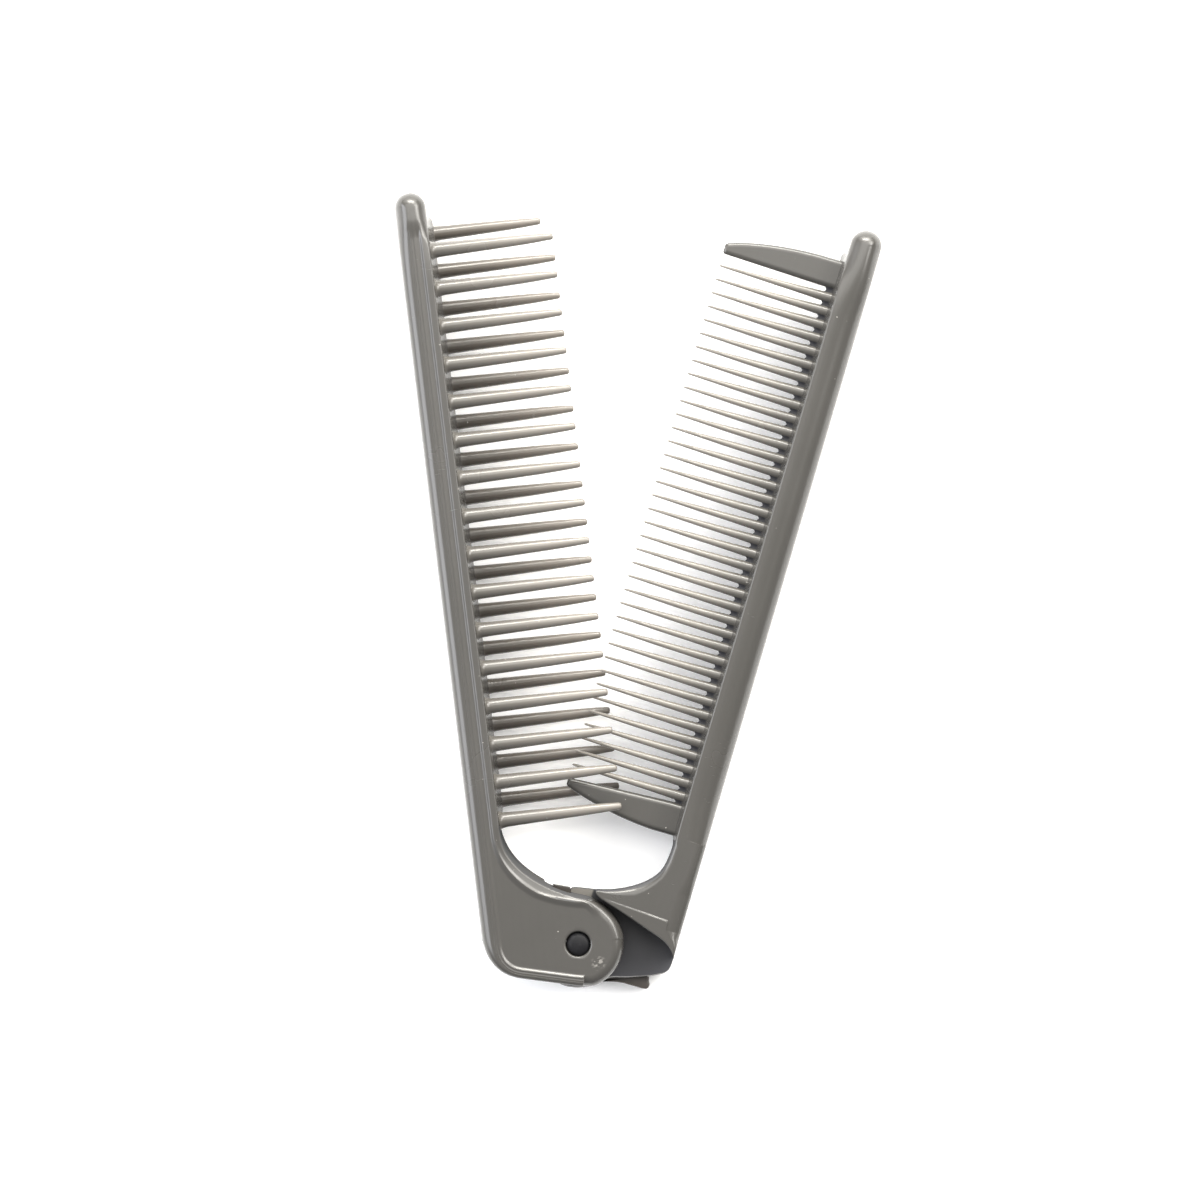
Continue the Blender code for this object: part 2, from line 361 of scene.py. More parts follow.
class Graph:
    """A material's node tree, with one way to add any node."""

    def __init__(self, name: str):
        """Makes a material with a Principled shader, on which constants are set."""
        self.material = bpy.data.materials.new(name)
        self.material.use_nodes = True
        self.tree = self.material.node_tree
        self.shader = self.tree.nodes["Principled BSDF"]

    def node(self, kind: str, settings: dict, inputs: dict, output: int | str = 0) -> Signal:
        """Adds a node, sets its settings first, then its sockets.

        Args:
            kind: the node's type.
            settings: attributes of the node, such as an operation.
            inputs: values or signals by socket name or number.
            output: which output the signal reads.

        Returns:
            The signal of that output.
        """
        made = self.tree.nodes.new(kind)
        for key, value in settings.items():
            setattr(made, key, value)
        for key, value in inputs.items():
            self.feed(made.inputs[key], value)
        return Signal(self, made.outputs[output])

    def feed(self, socket: bpy.types.NodeSocket, value: "Signal | float | tuple") -> None:
        """Links a signal to a socket, or sets the socket's own value."""
        if isinstance(value, Signal):
            self.tree.links.new(value.socket, socket)
        else:
            socket.default_value = value

    def finished(self, inputs: dict) -> bpy.types.Material:
        """Feeds the shader's inputs, by their names, and hands over the material."""
        for key, value in inputs.items():
            self.feed(self.shader.inputs[key], value)
        return self.material

    def place(self, origin: Place, turn: float) -> Signal:
        """Object coordinates in millimetres from an origin, turned about Z.

        Args:
            origin: the zero point, in metres.
            turn: angle of the turned axes, in radians.

        Returns:
            The vector signal.
        """
        here = self.node("ShaderNodeTexCoord", {}, {}, "Object")
        from_origin = self.node("ShaderNodeVectorMath", {"operation": "SUBTRACT"}, {0: here, 1: origin})
        turned_back = {"Vector": from_origin, "Angle": -turn}
        turned = self.node("ShaderNodeVectorRotate", {"rotation_type": "Z_AXIS"}, turned_back)
        return self.node("ShaderNodeVectorMath", {"operation": "SCALE"}, {0: turned, "Scale": 1.0 / MM})

    def part(self, at: Signal, axis: str) -> Signal:
        """One coordinate of a vector, by its letter."""
        return self.node("ShaderNodeSeparateXYZ", {}, {0: at}, axis)

    def noise(self, at: Signal, waves: float, detail: float = 2.0, roughness: float = 0.5) -> Signal:
        """Noise of 0 to 1 with this many waves a millimetre."""
        inputs = {"Vector": at, "Scale": waves, "Detail": detail, "Roughness": roughness}
        return self.node("ShaderNodeTexNoise", {}, inputs, "Fac")

    def stretched(self, at: Signal, scale: Place) -> Signal:
        """The vector times a scale for each axis, which draws a pattern out along the smaller ones."""
        return self.node("ShaderNodeVectorMath", {"operation": "MULTIPLY"}, {0: at, 1: scale})

    def tint(self, amount: "Signal | float", first: "Signal | Colour", second: "Signal | Colour") -> Signal:
        """A colour between two, by an amount of 0 to 1."""
        ends = [end if isinstance(end, Signal) else (*end, 1.0) for end in (first, second)]
        inputs = {"Factor": amount, 6: ends[0], 7: ends[1]}
        return self.node("ShaderNodeMix", {"data_type": "RGBA"}, inputs, 2)

    def relief(self, height: Signal, depth: float) -> Signal:
        """A bump normal from a height of 0 to 1 that stands for a depth in millimetres."""
        return self.node("ShaderNodeBump", {}, {"Height": height, "Distance": depth * MM, "Strength": 1.0})


@dataclass(frozen=True)
class SatinPlastic:
    """Warm grey moulded plastic with a satin skin, drawn flow lines, faint rub marks and a few pale specks.

    Along the half's own X it pales between the two places of tip: painted light toward a slender tooth's tip,
    painted shade toward its root. Along its Y it darkens between the two places of depth, painted shade in
    the joint's pocket, but for a lug painted paler, a painted pool of light. With scuff it has a rub mark
    beside the pin.
    """

    name: str
    origin: Place
    turn: float
    shade: Colour = (0.0425, 0.0406, 0.0374)
    pale: Colour = (0.050, 0.0475, 0.0438)
    # tip and thin: painted light toward slender tips, while the root end keeps painted shade
    tip: Span | None = None
    thin: Colour = (0.185, 0.170, 0.150)
    # depth and deep: painted shade toward the joint; lug: a painted pool of light on the lug
    depth: Span | None = None
    deep: Colour = (0.008, 0.008, 0.010)
    lug: Colour = (0.105, 0.098, 0.087)
    speck: Colour = (0.42, 0.40, 0.37)
    roughness: float = 0.26
    sheen: float = 0.5
    scuff: bool = False

    CLOUD_WAVES = 0.11
    FLOW_WAVES = (1.6, 0.12, 1.6)
    GRAIN_WAVES = 3.2
    RUB_WAVES = (0.5, 4.0, 1.0)
    RUB_ABOVE = (0.6, 0.8)
    DUST_WAVES = 2.3
    DUST_ABOVE = (0.875, 0.905)
    # Where the lug's painted light lies, in millimetres from the pin.
    LUG_X = (-0.2, 0.1)
    LUG_Y = (5.3, 5.8)
    SKIN_RELIEF = 0.0014
    SCUFF_AT = (2.35, -2.75, 5.15)
    SCUFF_FADE = (0.35, 1.15)
    SCUFF_WAVES = (1.4, 2.6, 1.0)
    SCUFF_ABOVE = (0.48, 0.62)

    def material(self) -> bpy.types.Material:
        """Builds the material: colour, roughness and relief from noises in the half's own axes.

        Returns:
            The material.
        """
        graph = Graph(self.name)
        at = graph.place(self.origin, self.turn)
        cloud = graph.noise(at, self.CLOUD_WAVES, 3.0)
        flow = graph.noise(graph.stretched(at, self.FLOW_WAVES), 1.0, 3.0)
        grain = graph.noise(at, self.GRAIN_WAVES, 3.0, 0.6)
        rubbed = graph.noise(graph.stretched(at, self.RUB_WAVES), 1.0, 4.0, 0.7).smooth(*self.RUB_ABOVE)
        colour = self.coloured(graph, at, cloud * 0.6 + flow * 0.4)
        if self.scuff:
            colour = graph.tint(self.scuffed(graph, at, grain), colour, self.speck)
        return graph.finished(
            {
                "Base Color": colour,
                "Roughness": self.roughness + 0.08 * (cloud - 0.5) + 0.015 * rubbed,
                "Specular IOR Level": self.sheen,
                "Normal": graph.relief(grain * 0.4 + flow * 0.6, self.SKIN_RELIEF),
            }
        )

    def coloured(self, graph: Graph, at: Signal, mottle: Signal) -> Signal:
        """The colour without the scuff: mottled, painted light toward a tip, painted shade in the joint with
        a painted pool of light on its lug, and pale specks.

        Args:
            graph: the material's graph.
            at: coordinates in millimetres from the pin.
            mottle: where the plastic lies between its two shades.

        Returns:
            The colour.
        """
        body = graph.tint(mottle, self.shade, self.pale)
        # Painted light toward the tip and painted shade toward the root.
        if self.tip:
            along = graph.part(at, "X").smooth(*self.tip)
            body = graph.tint(0.2 + 0.6 * along, body, self.thin)
        # Painted shade deepening toward the joint, then painted light on the lug.
        if self.depth:
            along, across = graph.part(at, "X"), graph.part(at, "Y")
            body = graph.tint(across.smooth(*self.depth), body, self.deep)
            lit_lug = (1.0 - along.smooth(*self.LUG_X)) * across.smooth(*self.LUG_Y)
            body = graph.tint(lit_lug, body, self.lug)
        dust = graph.noise(at, self.DUST_WAVES, 0.0).smooth(*self.DUST_ABOVE)
        return graph.tint(dust * 0.5, body, self.speck)

    def scuffed(self, graph: Graph, at: Signal, grain: Signal) -> Signal:
        """A small pale scuff beside the pin: a soft round patch broken up by noise.

        Args:
            graph: the material's graph.
            at: coordinates in millimetres from the pin.
            grain: the skin's fine noise.

        Returns:
            Its strength, 0 to 1.
        """
        ends = {0: at, 1: self.SCUFF_AT}
        away = graph.node("ShaderNodeVectorMath", {"operation": "DISTANCE"}, ends, "Value")
        patch = 1.0 - away.smooth(*self.SCUFF_FADE)
        broken = graph.noise(graph.stretched(at, self.SCUFF_WAVES), 1.1, 2.0).smooth(*self.SCUFF_ABOVE)
        return patch * broken * (0.15 + 0.3 * grain)


@dataclass(frozen=True)
class DarkMetal:
    """Blued, nearly black metal of the pin, turned smooth."""

    name: str = "dark_pin_metal"
    colour: Colour = (0.005, 0.005, 0.006)
    worn: Colour = (0.012, 0.012, 0.014)
    roughness: float = 0.5

    def material(self, origin: Place) -> bpy.types.Material:
        """Builds the material: fine turning rings and light handling wear.

        Args:
            origin: the pin's centre in metres.

        Returns:
            The material.
        """
        graph = Graph(self.name)
        at = graph.place(origin, 0.0)
        wear = graph.noise(at, 0.9, 4.0, 0.65)
        round_pin = {"wave_type": "RINGS", "rings_direction": "Z"}
        turning = {"Vector": at, "Scale": 2.2, "Distortion": 0.6, "Detail": 2.0}
        rings = graph.node("ShaderNodeTexWave", round_pin, turning, "Fac")
        return graph.finished(
            {
                "Base Color": graph.tint(wear.smooth(0.45, 0.75), self.colour, self.worn),
                "Specular IOR Level": 0.2,
                "Roughness": self.roughness + 0.15 * (wear - 0.5),
                "Normal": graph.relief(rings * 0.4 + wear * 0.6, 0.002),
            }
        )


@dataclass(frozen=True)
class PaleFloor:
    """Plain white floor with the slightest mottling."""

    name: str = "pale_floor"
    colour: Colour = (0.93, 0.93, 0.93)
    mottle: float = 0.985
    glow: float = 0.2

    def material(self) -> bpy.types.Material:
        """Builds the material.

        Returns:
            The material.
        """
        graph = Graph(self.name)
        at = graph.place((0.0, 0.0, 0.0), 0.0)
        shade = tuple(self.mottle * c for c in self.colour)
        return graph.finished(
            {
                "Base Color": graph.tint(graph.noise(at, 0.02, 3.0), self.colour, shade),
                "Roughness": 0.9,
                "Specular IOR Level": 0.1,
                "Emission Color": (*self.colour, 1.0),
                "Emission Strength": self.glow,
            }
        )


class Finishes:
    """All finishes of the comb, each plastic's pattern drawn in the axes of the half that wears it; several
    are copies with painted shade or painted light.
    """

    def __init__(self, origin: Place, opening: float):
        """Builds the materials.

        Args:
            origin: the pin's centre in metres.
            opening: how far the half with fine teeth stands open, in radians.
        """
        on_brush = {"origin": origin, "turn": 0.0}
        on_comb = {"origin": origin, "turn": -opening}
        # Thick teeth: painted light toward the tips, painted shade toward the roots.
        thick = {**on_brush, "tip": (-10.0, 7.0)}
        self.brush = SatinPlastic("brush_satin_plastic", **on_brush, scuff=True).material()
        self.comb = SatinPlastic("comb_satin_plastic", **on_comb).material()
        # Painted shade: a darker, bluer copy of the plastic for faces at mid thickness, darkening toward the
        # joint's pocket, with painted light on the lug.
        self.inner_face_painted_shade = SatinPlastic(
            "inner_face_plastic",
            **on_comb,
            depth=(0.5, 6.45),
            shade=(0.032, 0.032, 0.037),
            pale=(0.040, 0.040, 0.046),
            roughness=0.5,
        ).material()
        # Painted shade: a copy of the plastic without reflection, which darkens the steep wall round the
        # window.
        self.window_wall_painted_shade = SatinPlastic(
            "window_wall_plastic",
            **on_brush,
            shade=(0.062, 0.062, 0.064),
            pale=(0.074, 0.074, 0.076),
            sheen=0.0,
        ).material()
        self.front_teeth = SatinPlastic("thick_teeth_plastic", **thick).material()
        # Painted shade: a darker, browner copy of the plastic for the back row of thick teeth.
        self.back_teeth_painted_shade = SatinPlastic(
            "back_teeth_plastic",
            **thick,
            shade=(0.036, 0.031, 0.027),
            pale=(0.043, 0.038, 0.033),
            thin=(0.165, 0.148, 0.128),
        ).material()
        # Painted shade: a dark copy of the plastic for the ledge that fills the shaded notch.
        self.ledge = SatinPlastic(
            "notch_painted_shade_plastic", **on_brush, shade=(0.026, 0.023, 0.020), pale=(0.034, 0.030, 0.027), sheen=0.25
        ).material()
        # Fine teeth: painted light toward the tips, painted shade toward the roots.
        self.fine_teeth = SatinPlastic("fine_teeth_plastic", **on_comb, tip=(9.0, 0.0)).material()
        # Painted shade: a near-black copy of the plastic with little reflection for the web between the fine
        # teeth's roots.
        self.web = SatinPlastic(
            "root_web_painted_shade_plastic", **on_comb, shade=(0.020, 0.020, 0.023), pale=(0.026, 0.026, 0.030), sheen=0.12
        ).material()
        self.stop = SatinPlastic(
            "shaded_plastic", **on_comb, shade=(0.056, 0.048, 0.042), pale=(0.068, 0.059, 0.052)
        ).material()
        self.pin = DarkMetal().material(origin)


@dataclass
class Edge:
    """One long edge of a moulding's face: its rail, inward normals and the profile's sizes along the rows.

    The profile starts at the wall's foot, which stands out by bulge and draws in by toe, and runs up the
    wall, which leans in by draft. It turns round the edge over a quarter ellipse of width round and height
    drop, less where the rim leans, and goes along the rim to width rim, rising by sink and over a low bead. A
    soft step of width slope and height step leads down to the panel. No point of it lies further in than
    reach. A size is given once, or once for each row.
    """

    rail: np.ndarray
    normal: np.ndarray
    round: np.ndarray
    drop: np.ndarray
    rim: np.ndarray
    draft: np.ndarray | float
    slope: np.ndarray | float
    step: np.ndarray | float = 0.0
    bulge: np.ndarray | float = 0.0
    toe: np.ndarray | float = 0.0
    sink: np.ndarray | float = 0.0
    bead: np.ndarray | float = 0.0
    reach: np.ndarray | float = UNHELD

    SHARED_AT_ENDS = ("round", "drop", "rim", "slope", "step", "bulge", "draft", "toe", "sink")
    ROOM_ROUND = 0.92
    ROOM_REACH = 0.97
    LEAST_RIM = 0.05
    BEAD_MARGIN = 0.1
    PANEL_MARGIN = 0.04
    WALL_AT = (0.0, 0.06, 0.35, 0.7)
    TOE_AT = (1.0, 0.25)
    ROUND_STEPS = 10
    RIM_AT = (0.08, 0.3, 0.52, 0.74, 0.94)
    RIM_RISE = (0.05, 0.2, 0.37, 0.58, 0.93)
    BEAD_DIP = (1.0, 0.0, 0.6, 1.0, 0.1)
    STEP_AT = (0.0, 0.12, 0.3, 0.5, 0.7, 0.88, 1.0)

    def __post_init__(self):
        """Gives every row its sizes, and holds rounding and reach within the room that the bends leave."""
        for name in (*self.SHARED_AT_ENDS, "bead", "reach"):
            setattr(self, name, np.array(np.broadcast_to(getattr(self, name), len(self.rail)), float))
        free = room(self.rail, self.normal)
        self.round = np.minimum(self.round, self.ROOM_ROUND * free)
        self.reach = np.minimum(self.reach, self.ROOM_REACH * free)

    def profile(self, panel: np.ndarray, foot: float, most: np.ndarray) -> tuple[np.ndarray, np.ndarray]:
        """Distances from the rail and heights of the profile for each row.

        The wall leans in by the draft in proportion to height, less the bulge at mid thickness, and the
        quarter ellipse is (round (1 - cos a), drop (sin a - 1)) from the rim's outer side. The step falls
        as 3t^2 - 2t^3.

        Args:
            panel: height of the panel for each row.
            foot: height at which the wall starts.
            most: greatest distance from the rail for each row.

        Returns:
            Arrays of distance and height, rows by columns.
        """
        top = (panel + self.step)[:, None]
        lip = top - self.sink[:, None] - self.drop[:, None]
        up = np.array(self.WALL_AT)[None]
        wall_z = foot + (lip - foot) * up
        wall_d = self.draft[:, None] * up - self.bulge[:, None] * (1.0 - up) ** 2
        wall_d[:, :2] += self.toe[:, None] * np.array([self.TOE_AT])
        shoulder = self.draft + self.round
        rim = np.maximum(self.rim, shoulder + self.LEAST_RIM)[:, None]
        lean = self.sink / (rim[:, 0] - self.draft)
        last_turn = np.arctan2(self.drop, self.round * lean)[:, None]
        turn = last_turn * np.linspace(0.0, 1.0, self.ROUND_STEPS + 1)[None]
        round_d = self.draft[:, None] + self.round[:, None] * (1.0 - np.cos(turn))
        round_z = lip + self.drop[:, None] * np.sin(turn)
        start, start_z = round_d[:, -1:], round_z[:, -1:]
        bead = self.bead[:, None] * np.clip(rim - shoulder[:, None] - self.BEAD_MARGIN, 0.0, 1.0)
        rim_d = start + (rim - start) * np.array([self.RIM_AT])
        rim_z = top - np.array([self.BEAD_DIP]) * bead - (top - start_z) * (1.0 - np.array([self.RIM_RISE]))
        t = np.array(self.STEP_AT)[None]
        step_d = rim + self.slope[:, None] * t
        step_z = top - self.step[:, None] * t * t * (3.0 - 2.0 * t)
        panel_d = rim + self.slope[:, None] + self.PANEL_MARGIN
        distance = np.concatenate([wall_d, round_d, rim_d, step_d, panel_d], axis=1)
        height = np.concatenate([wall_z, round_z, rim_z, step_z, panel[:, None]], axis=1)
        scale = np.minimum(1.0, (most[:, None] - start) / (distance[:, -1:] - start))
        distance = np.where(distance > start, start + (distance - start) * scale, distance)
        return distance, height

    def points(self, distance: np.ndarray, height: np.ndarray) -> np.ndarray:
        """Grid of points: the rail plus the normal times the distance, at the height."""
        flat = self.rail[:, None, :] + self.normal[:, None, :] * distance[:, :, None]
        return np.concatenate([flat, height[:, :, None]], axis=2)

    def meet(self, other: "Edge") -> None:
        """Gives both edges one profile and normal at their first and last rows, where their rails meet."""
        for row in (0, -1):
            mean = self.normal[row] + other.normal[row]
            mean /= np.linalg.norm(mean)
            self.normal[row] = other.normal[row] = mean
            for name in self.SHARED_AT_ENDS:
                getattr(other, name)[row] = getattr(self, name)[row]


@dataclass(frozen=True)
class Ribbon:
    """A closed moulding between two edges: profile up one side, across, profile down the other, and a floor.

    Across, a row's points run evenly from the last point of one profile to that of the other. The floor runs
    straight back between the two walls, at the foot or a plug's depth below it, inside the other layer.
    """

    panel: np.ndarray
    foot: float
    limit: np.ndarray
    plug: float = 0.0

    SHARES = np.linspace(0.0, 1.0, 19)[None, 1:-1, None]
    FLOOR_SHARES = SHARES[:, ::4]
    LEAST_REACH = 0.02
    MOST_OF_HALF = 0.495
    PLUG_INSET = 0.06
    PLUG_INSET_SHARE = 0.2

    def skin(self, first: Edge, second: Edge) -> Skin:
        """The closed surface.

        A profile reaches no further in than its edge's reach, the limit of its row, and a little less than
        half of the width that the walls and roundings leave, which counts square to the rails.

        Args:
            first: one edge.
            second: the other edge, with as many rows.

        Returns:
            The surface, its faces outward.
        """
        first.meet(second)
        across = second.rail - first.rail
        width = np.linalg.norm(across, axis=1)
        facing = [np.abs(np.einsum("ij,ij->i", across, edge.normal)) for edge in (first, second)]
        square = np.minimum(*facing) / np.maximum(width, 1e-6)
        free = width * square - first.draft - second.draft - first.round - second.round
        sides = []
        for edge in (first, second):
            shoulder = edge.draft + edge.round
            most = shoulder + np.maximum(self.LEAST_REACH, self.MOST_OF_HALF * free)
            most = np.clip(np.minimum(self.limit, edge.reach), shoulder + self.LEAST_REACH, most)
            sides.append(edge.points(*edge.profile(self.panel, self.foot, most)))
        near, far = sides
        far[[0, -1]] = near[[0, -1]]
        columns = [near, blend(near[:, -1:], far[:, -1:], self.SHARES), far[:, ::-1]]
        near_low, far_low = near[:, :1], far[:, :1]
        if self.plug:
            inset = np.minimum(self.PLUG_INSET, self.PLUG_INSET_SHARE * width)[:, None]
            near_in, far_in = (edge.points(inset, np.full_like(inset, self.foot)) for edge in (first, second))
            near_low, far_low = (place - np.array([0.0, 0.0, self.plug]) for place in (near_in, far_in))
            columns += [far_in, far_low]
        columns.append(blend(far_low, near_low, self.FLOOR_SHARES))
        if self.plug:
            columns += [near_low, near_in]
        return Skin.of_rings(np.concatenate(columns, axis=1))


@dataclass(frozen=True)
class Outline:
    """A half's own plan round its hub, measured from the pin and drawn as the half with thick teeth.

    The arch, the shoulder from it to the ear, and the spine's corner are runs of Bezier curves of four
    handles each. The foot and the step in it are points. The ear starts at an angle in degrees. The parting
    is where the layer without the ear stops, from its tip on the arch toward the spine.
    """

    arch: tuple
    shoulder: tuple
    corner: tuple
    foot: tuple
    foot_step: tuple
    ear_start: float
    parting: tuple


@dataclass(frozen=True)
class HalfMoulding:
    """The moulding that both halves share: spine with a domed end, hub with arch and ear, rim, sunk panel.

    Fades are the two places, in millimetres from the pin, between which a form comes or goes.
    """

    outline: Outline
    thickness: float = 11.0
    layer_gap: float = 0.3
    outer: float = 12.5
    inner: float = 8.3
    top: float = 100.2
    hub_top: float = 17.0
    ear_radius: float = 6.05
    ear_split: float = -70.0
    ear_top: float = 36.0
    bore_radius: float = 1.62
    bore_lip: float = 0.3

    crown: float = 0.8
    crown_start: float = 93.0
    dome: float = 2.0
    dome_start: float = 90.5
    cap_round: float = 0.7
    cap_steps: int = 26
    cap_fade: Span = (98.1, 100.1)
    groove_end: float = 96.6
    groove_fade: float = 2.8
    arch_fade: Span = (17.5, 12.5)
    web_bulge: float = 0.6
    bulge_fade: Span = (18.0, 15.5)
    bulge_end: Span = (96.0, 97.5)

    rim_height: float = 0.35
    outer_round: float = 1.5
    corner_round: float = 0.5
    ear_round: float = 1.4
    outer_rim: float = 2.2
    corner_rim: float = 1.22
    outer_slope: float = 0.45
    outer_step: float = 0.09
    corner_step: float = 0.2
    outer_bead: float = 0.11
    outer_draft: float = 0.15
    toe: float = 0.22

    window_round: float = 0.25
    crest_round: float = 0.15
    crest_end_round: float = 1.0
    window_rim: float = 1.0
    crest_rim: float = 0.7
    crest_narrows_from: float = -3.5
    crest_narrowing: float = 0.16
    most_narrowing: float = 1.3
    window_slope: float = 0.5
    crest_slope: float = 0.85
    crest_fall: float = 0.12
    crest_sink: float = 0.38
    crest_fade: Span = (17.0, 9.0)
    crest_end: Span = (2.0, 4.4)
    sink_end: Span = (-1.0, 3.6)
    window_draft: float = 0.06
    arch_draft: float = 0.4

    plug: float = 0.35
    facet_top: float = 6.2
    facet_fade: Span = (-0.2, 0.15)
    facet_rise: float = 0.12
    fuller_start: Span = (9.0, 25.0)
    fuller_end: Span = (87.0, 97.0)
    back_round: float = 1.95
    back_drop: float = 1.2
    fuller_round: float = 3.4
    fuller_drop: float = 2.8
    back_rim: float = 2.2
    back_slope: float = 0.3
    back_draft: float = 0.05
    back_window_round: float = 0.25
    back_arch_round: float = 1.8
    parting_round: float = 0.2

    DRAFT_OF_WIDTH = 0.15
    ROUND_OF_WIDTH = 0.3
    RIM_OF_WIDTH = 0.5
    SLOPE_OF_WIDTH = 0.1
    INNER_ROUND_OF_WIDTH = 0.15
    INNER_RIM_OF_WIDTH = 0.3
    INNER_RIM_MARGIN = 0.3
    INNER_SLOPE = 0.1
    ARCH_DROP_LOSS = 0.3
    ARCH_DRAFT_LOSS = 0.6
    REACH_AT_TIP = 0.05
    REACH_BEFORE_TIP = 0.24
    REACH_AFTER_TIP = 0.2
    ROUND_OF_REACH = 0.9

    MID_MARGIN = 0.02
    FLAT_FROM = 0.9
    WINDOW_LOW = 5.6
    WINDOW_HIGH = 16.5
    WINDOW_FROM_X = -8.6
    STEEP_TO = 0.72
    FACING_FROM = 0.5

    RUN_ROWS = (50, 60, 46, 10, 16, 60)
    RUN_SHARES = (0.0, 0.24, 0.46, 0.7, 0.715, 0.76, 1.0)
    CORNER_ROWS = (50, 105)
    TOE_ROWS = (60, 100)
    EAR_ROWS = (157, 163)
    ARCH_ROWS = (2, 50)
    WINDOW_POINTS = 1200
    BACK_POINTS = 321
    PARTING_END = ((-9.6, 3.85), (-11.3, 3.3), (-12.4, 2.4), (-12.9, 0.6))

    @property
    def half(self) -> float:
        """Half the thickness."""
        return self.thickness / 2

    @property
    def end_radius(self) -> float:
        """Radius of the spine's round end."""
        return (self.outer - self.inner) / 2

    def spine_side(self, x: float, last_angle: float) -> np.ndarray:
        """One side of the spine: a quarter of its round end, then straight, rows closest at the groove's end.

        Args:
            x: where the side lies.
            last_angle: angle at which the round end meets the side, in degrees.

        Returns:
            The points, from the middle of the end down to the hub.
        """
        last = self.top - self.end_radius
        groove_start = self.groove_end - self.groove_fade
        cap = arc((-self.inner - self.end_radius, last), self.end_radius, 90, last_angle, self.cap_steps)
        above = np.linspace(last, self.groove_end + 0.2, 8)[1:]
        ending = np.linspace(self.groove_end, groove_start, 24)
        below = np.linspace(groove_start - 1.0, self.hub_top, 36)
        return np.concatenate([cap, self.straight(x, np.concatenate([above, ending, below]))])

    def straight(self, x: float, rows: np.ndarray) -> np.ndarray:
        """Points straight down at one x."""
        return np.stack([np.full_like(rows, x), rows], axis=1)

    def crowned(self, skin: Skin) -> Skin:
        """The skin with its face falling toward the round end and domed over it.

        A point falls by crown (1 - sqrt(1 - u^2)), u being its share of the way from crown_start to just past
        the end, and by dome (1 - sqrt(1 - v^2)), v being its distance from the end's middle line over the
        end's radius, eased in from dome_start. Both count by its share of the height above mid thickness.

        Args:
            skin: a layer that faces up.

        Returns:
            The same faces on the lowered points.
        """
        x, y, z = skin.points.T
        last = self.top - self.end_radius
        u = np.clip((y - self.crown_start) / (self.top + 0.1 - self.crown_start), 0.0, 1.0)
        aside = np.hypot(x + self.inner + self.end_radius, np.maximum(y - last, 0.0))
        v = np.clip(aside / (self.end_radius + 0.03), 0.0, 1.0)
        domed = self.dome * ease(y, self.dome_start, last - 0.4) * (1.0 - np.sqrt(1.0 - v * v))
        fall = (self.crown * (1.0 - np.sqrt(1.0 - u * u)) + domed) * np.clip(z / self.half, 0.0, 1.0)
        return Skin(skin.points - fall[:, None] * np.array([0.0, 0.0, 1.0]), skin.faces)

    def bulge(self, inner: np.ndarray) -> np.ndarray:
        """How far the spine's toothed side stands out at mid thickness, for each row of its rail."""
        y = inner[:, 1]
        return self.web_bulge * (1.0 - ease(y, *self.bulge_fade)) * (1.0 - ease(y, *self.bulge_end))

    def cap_limit(self, count: int) -> np.ndarray:
        """Longest reach of a profile for each row: short of the round end's centre, free below it."""
        limit = np.full(count, UNHELD)
        limit[: self.cap_steps + 2] = self.end_radius - 0.03
        return limit

    def ear_face(self) -> Skin:
        """The layer with the ear: from the spine's end down both sides to the ear's middle.

        Round the hub each run of the outer rail has its number of rows, and the window's rail gives the same
        rows a share of its own length.

        Returns:
            The closed surface from the gap between the layers up to the face.
        """
        plan = self.outline
        straight = np.array([(-self.outer, self.hub_top), plan.corner[0][0]])
        corner = chain(*(bezier(handles, 60) for handles in plan.corner))
        to_ear = arc((0.0, 0.0), self.ear_radius, plan.ear_start, self.ear_split, 6)
        to_ear = chain([plan.foot_step[-1]], to_ear)
        under_ear = arc((0.0, 0.0), self.ear_radius, self.ear_split, 0, 60)
        runs = (straight, corner, np.array(plan.foot), np.array(plan.foot_step), to_ear, under_ear)
        arch = [bezier(handles, 120) for handles in (*plan.arch, *plan.shoulder)]
        over_ear = arc((0.0, 0.0), self.ear_radius, self.ear_top, 0, 40)
        window = chain([(-self.inner, self.hub_top)], *arch, over_ear)
        window = soften(spread(window, self.WINDOW_POINTS), 10)
        ends = [int(share * (self.WINDOW_POINTS - 1)) for share in self.RUN_SHARES]
        outer, inner = [self.spine_side(-self.outer, 180)], [self.spine_side(-self.inner, 0)]
        for run, rows, start, end in zip(runs, self.RUN_ROWS, ends, ends[1:]):
            outer.append(spread(run, rows + 1)[1:])
            inner.append(spread(window[start : end + 1], rows + 1)[1:])
        above = len(outer[0])
        outer, inner = np.concatenate(outer), np.concatenate(inner)
        outer[above:] = soften(outer[above:], 4)
        hub = np.maximum(np.arange(len(outer)) - above + 1.0, 0.0)
        return self.dress_ear_face(outer, inner, hub)

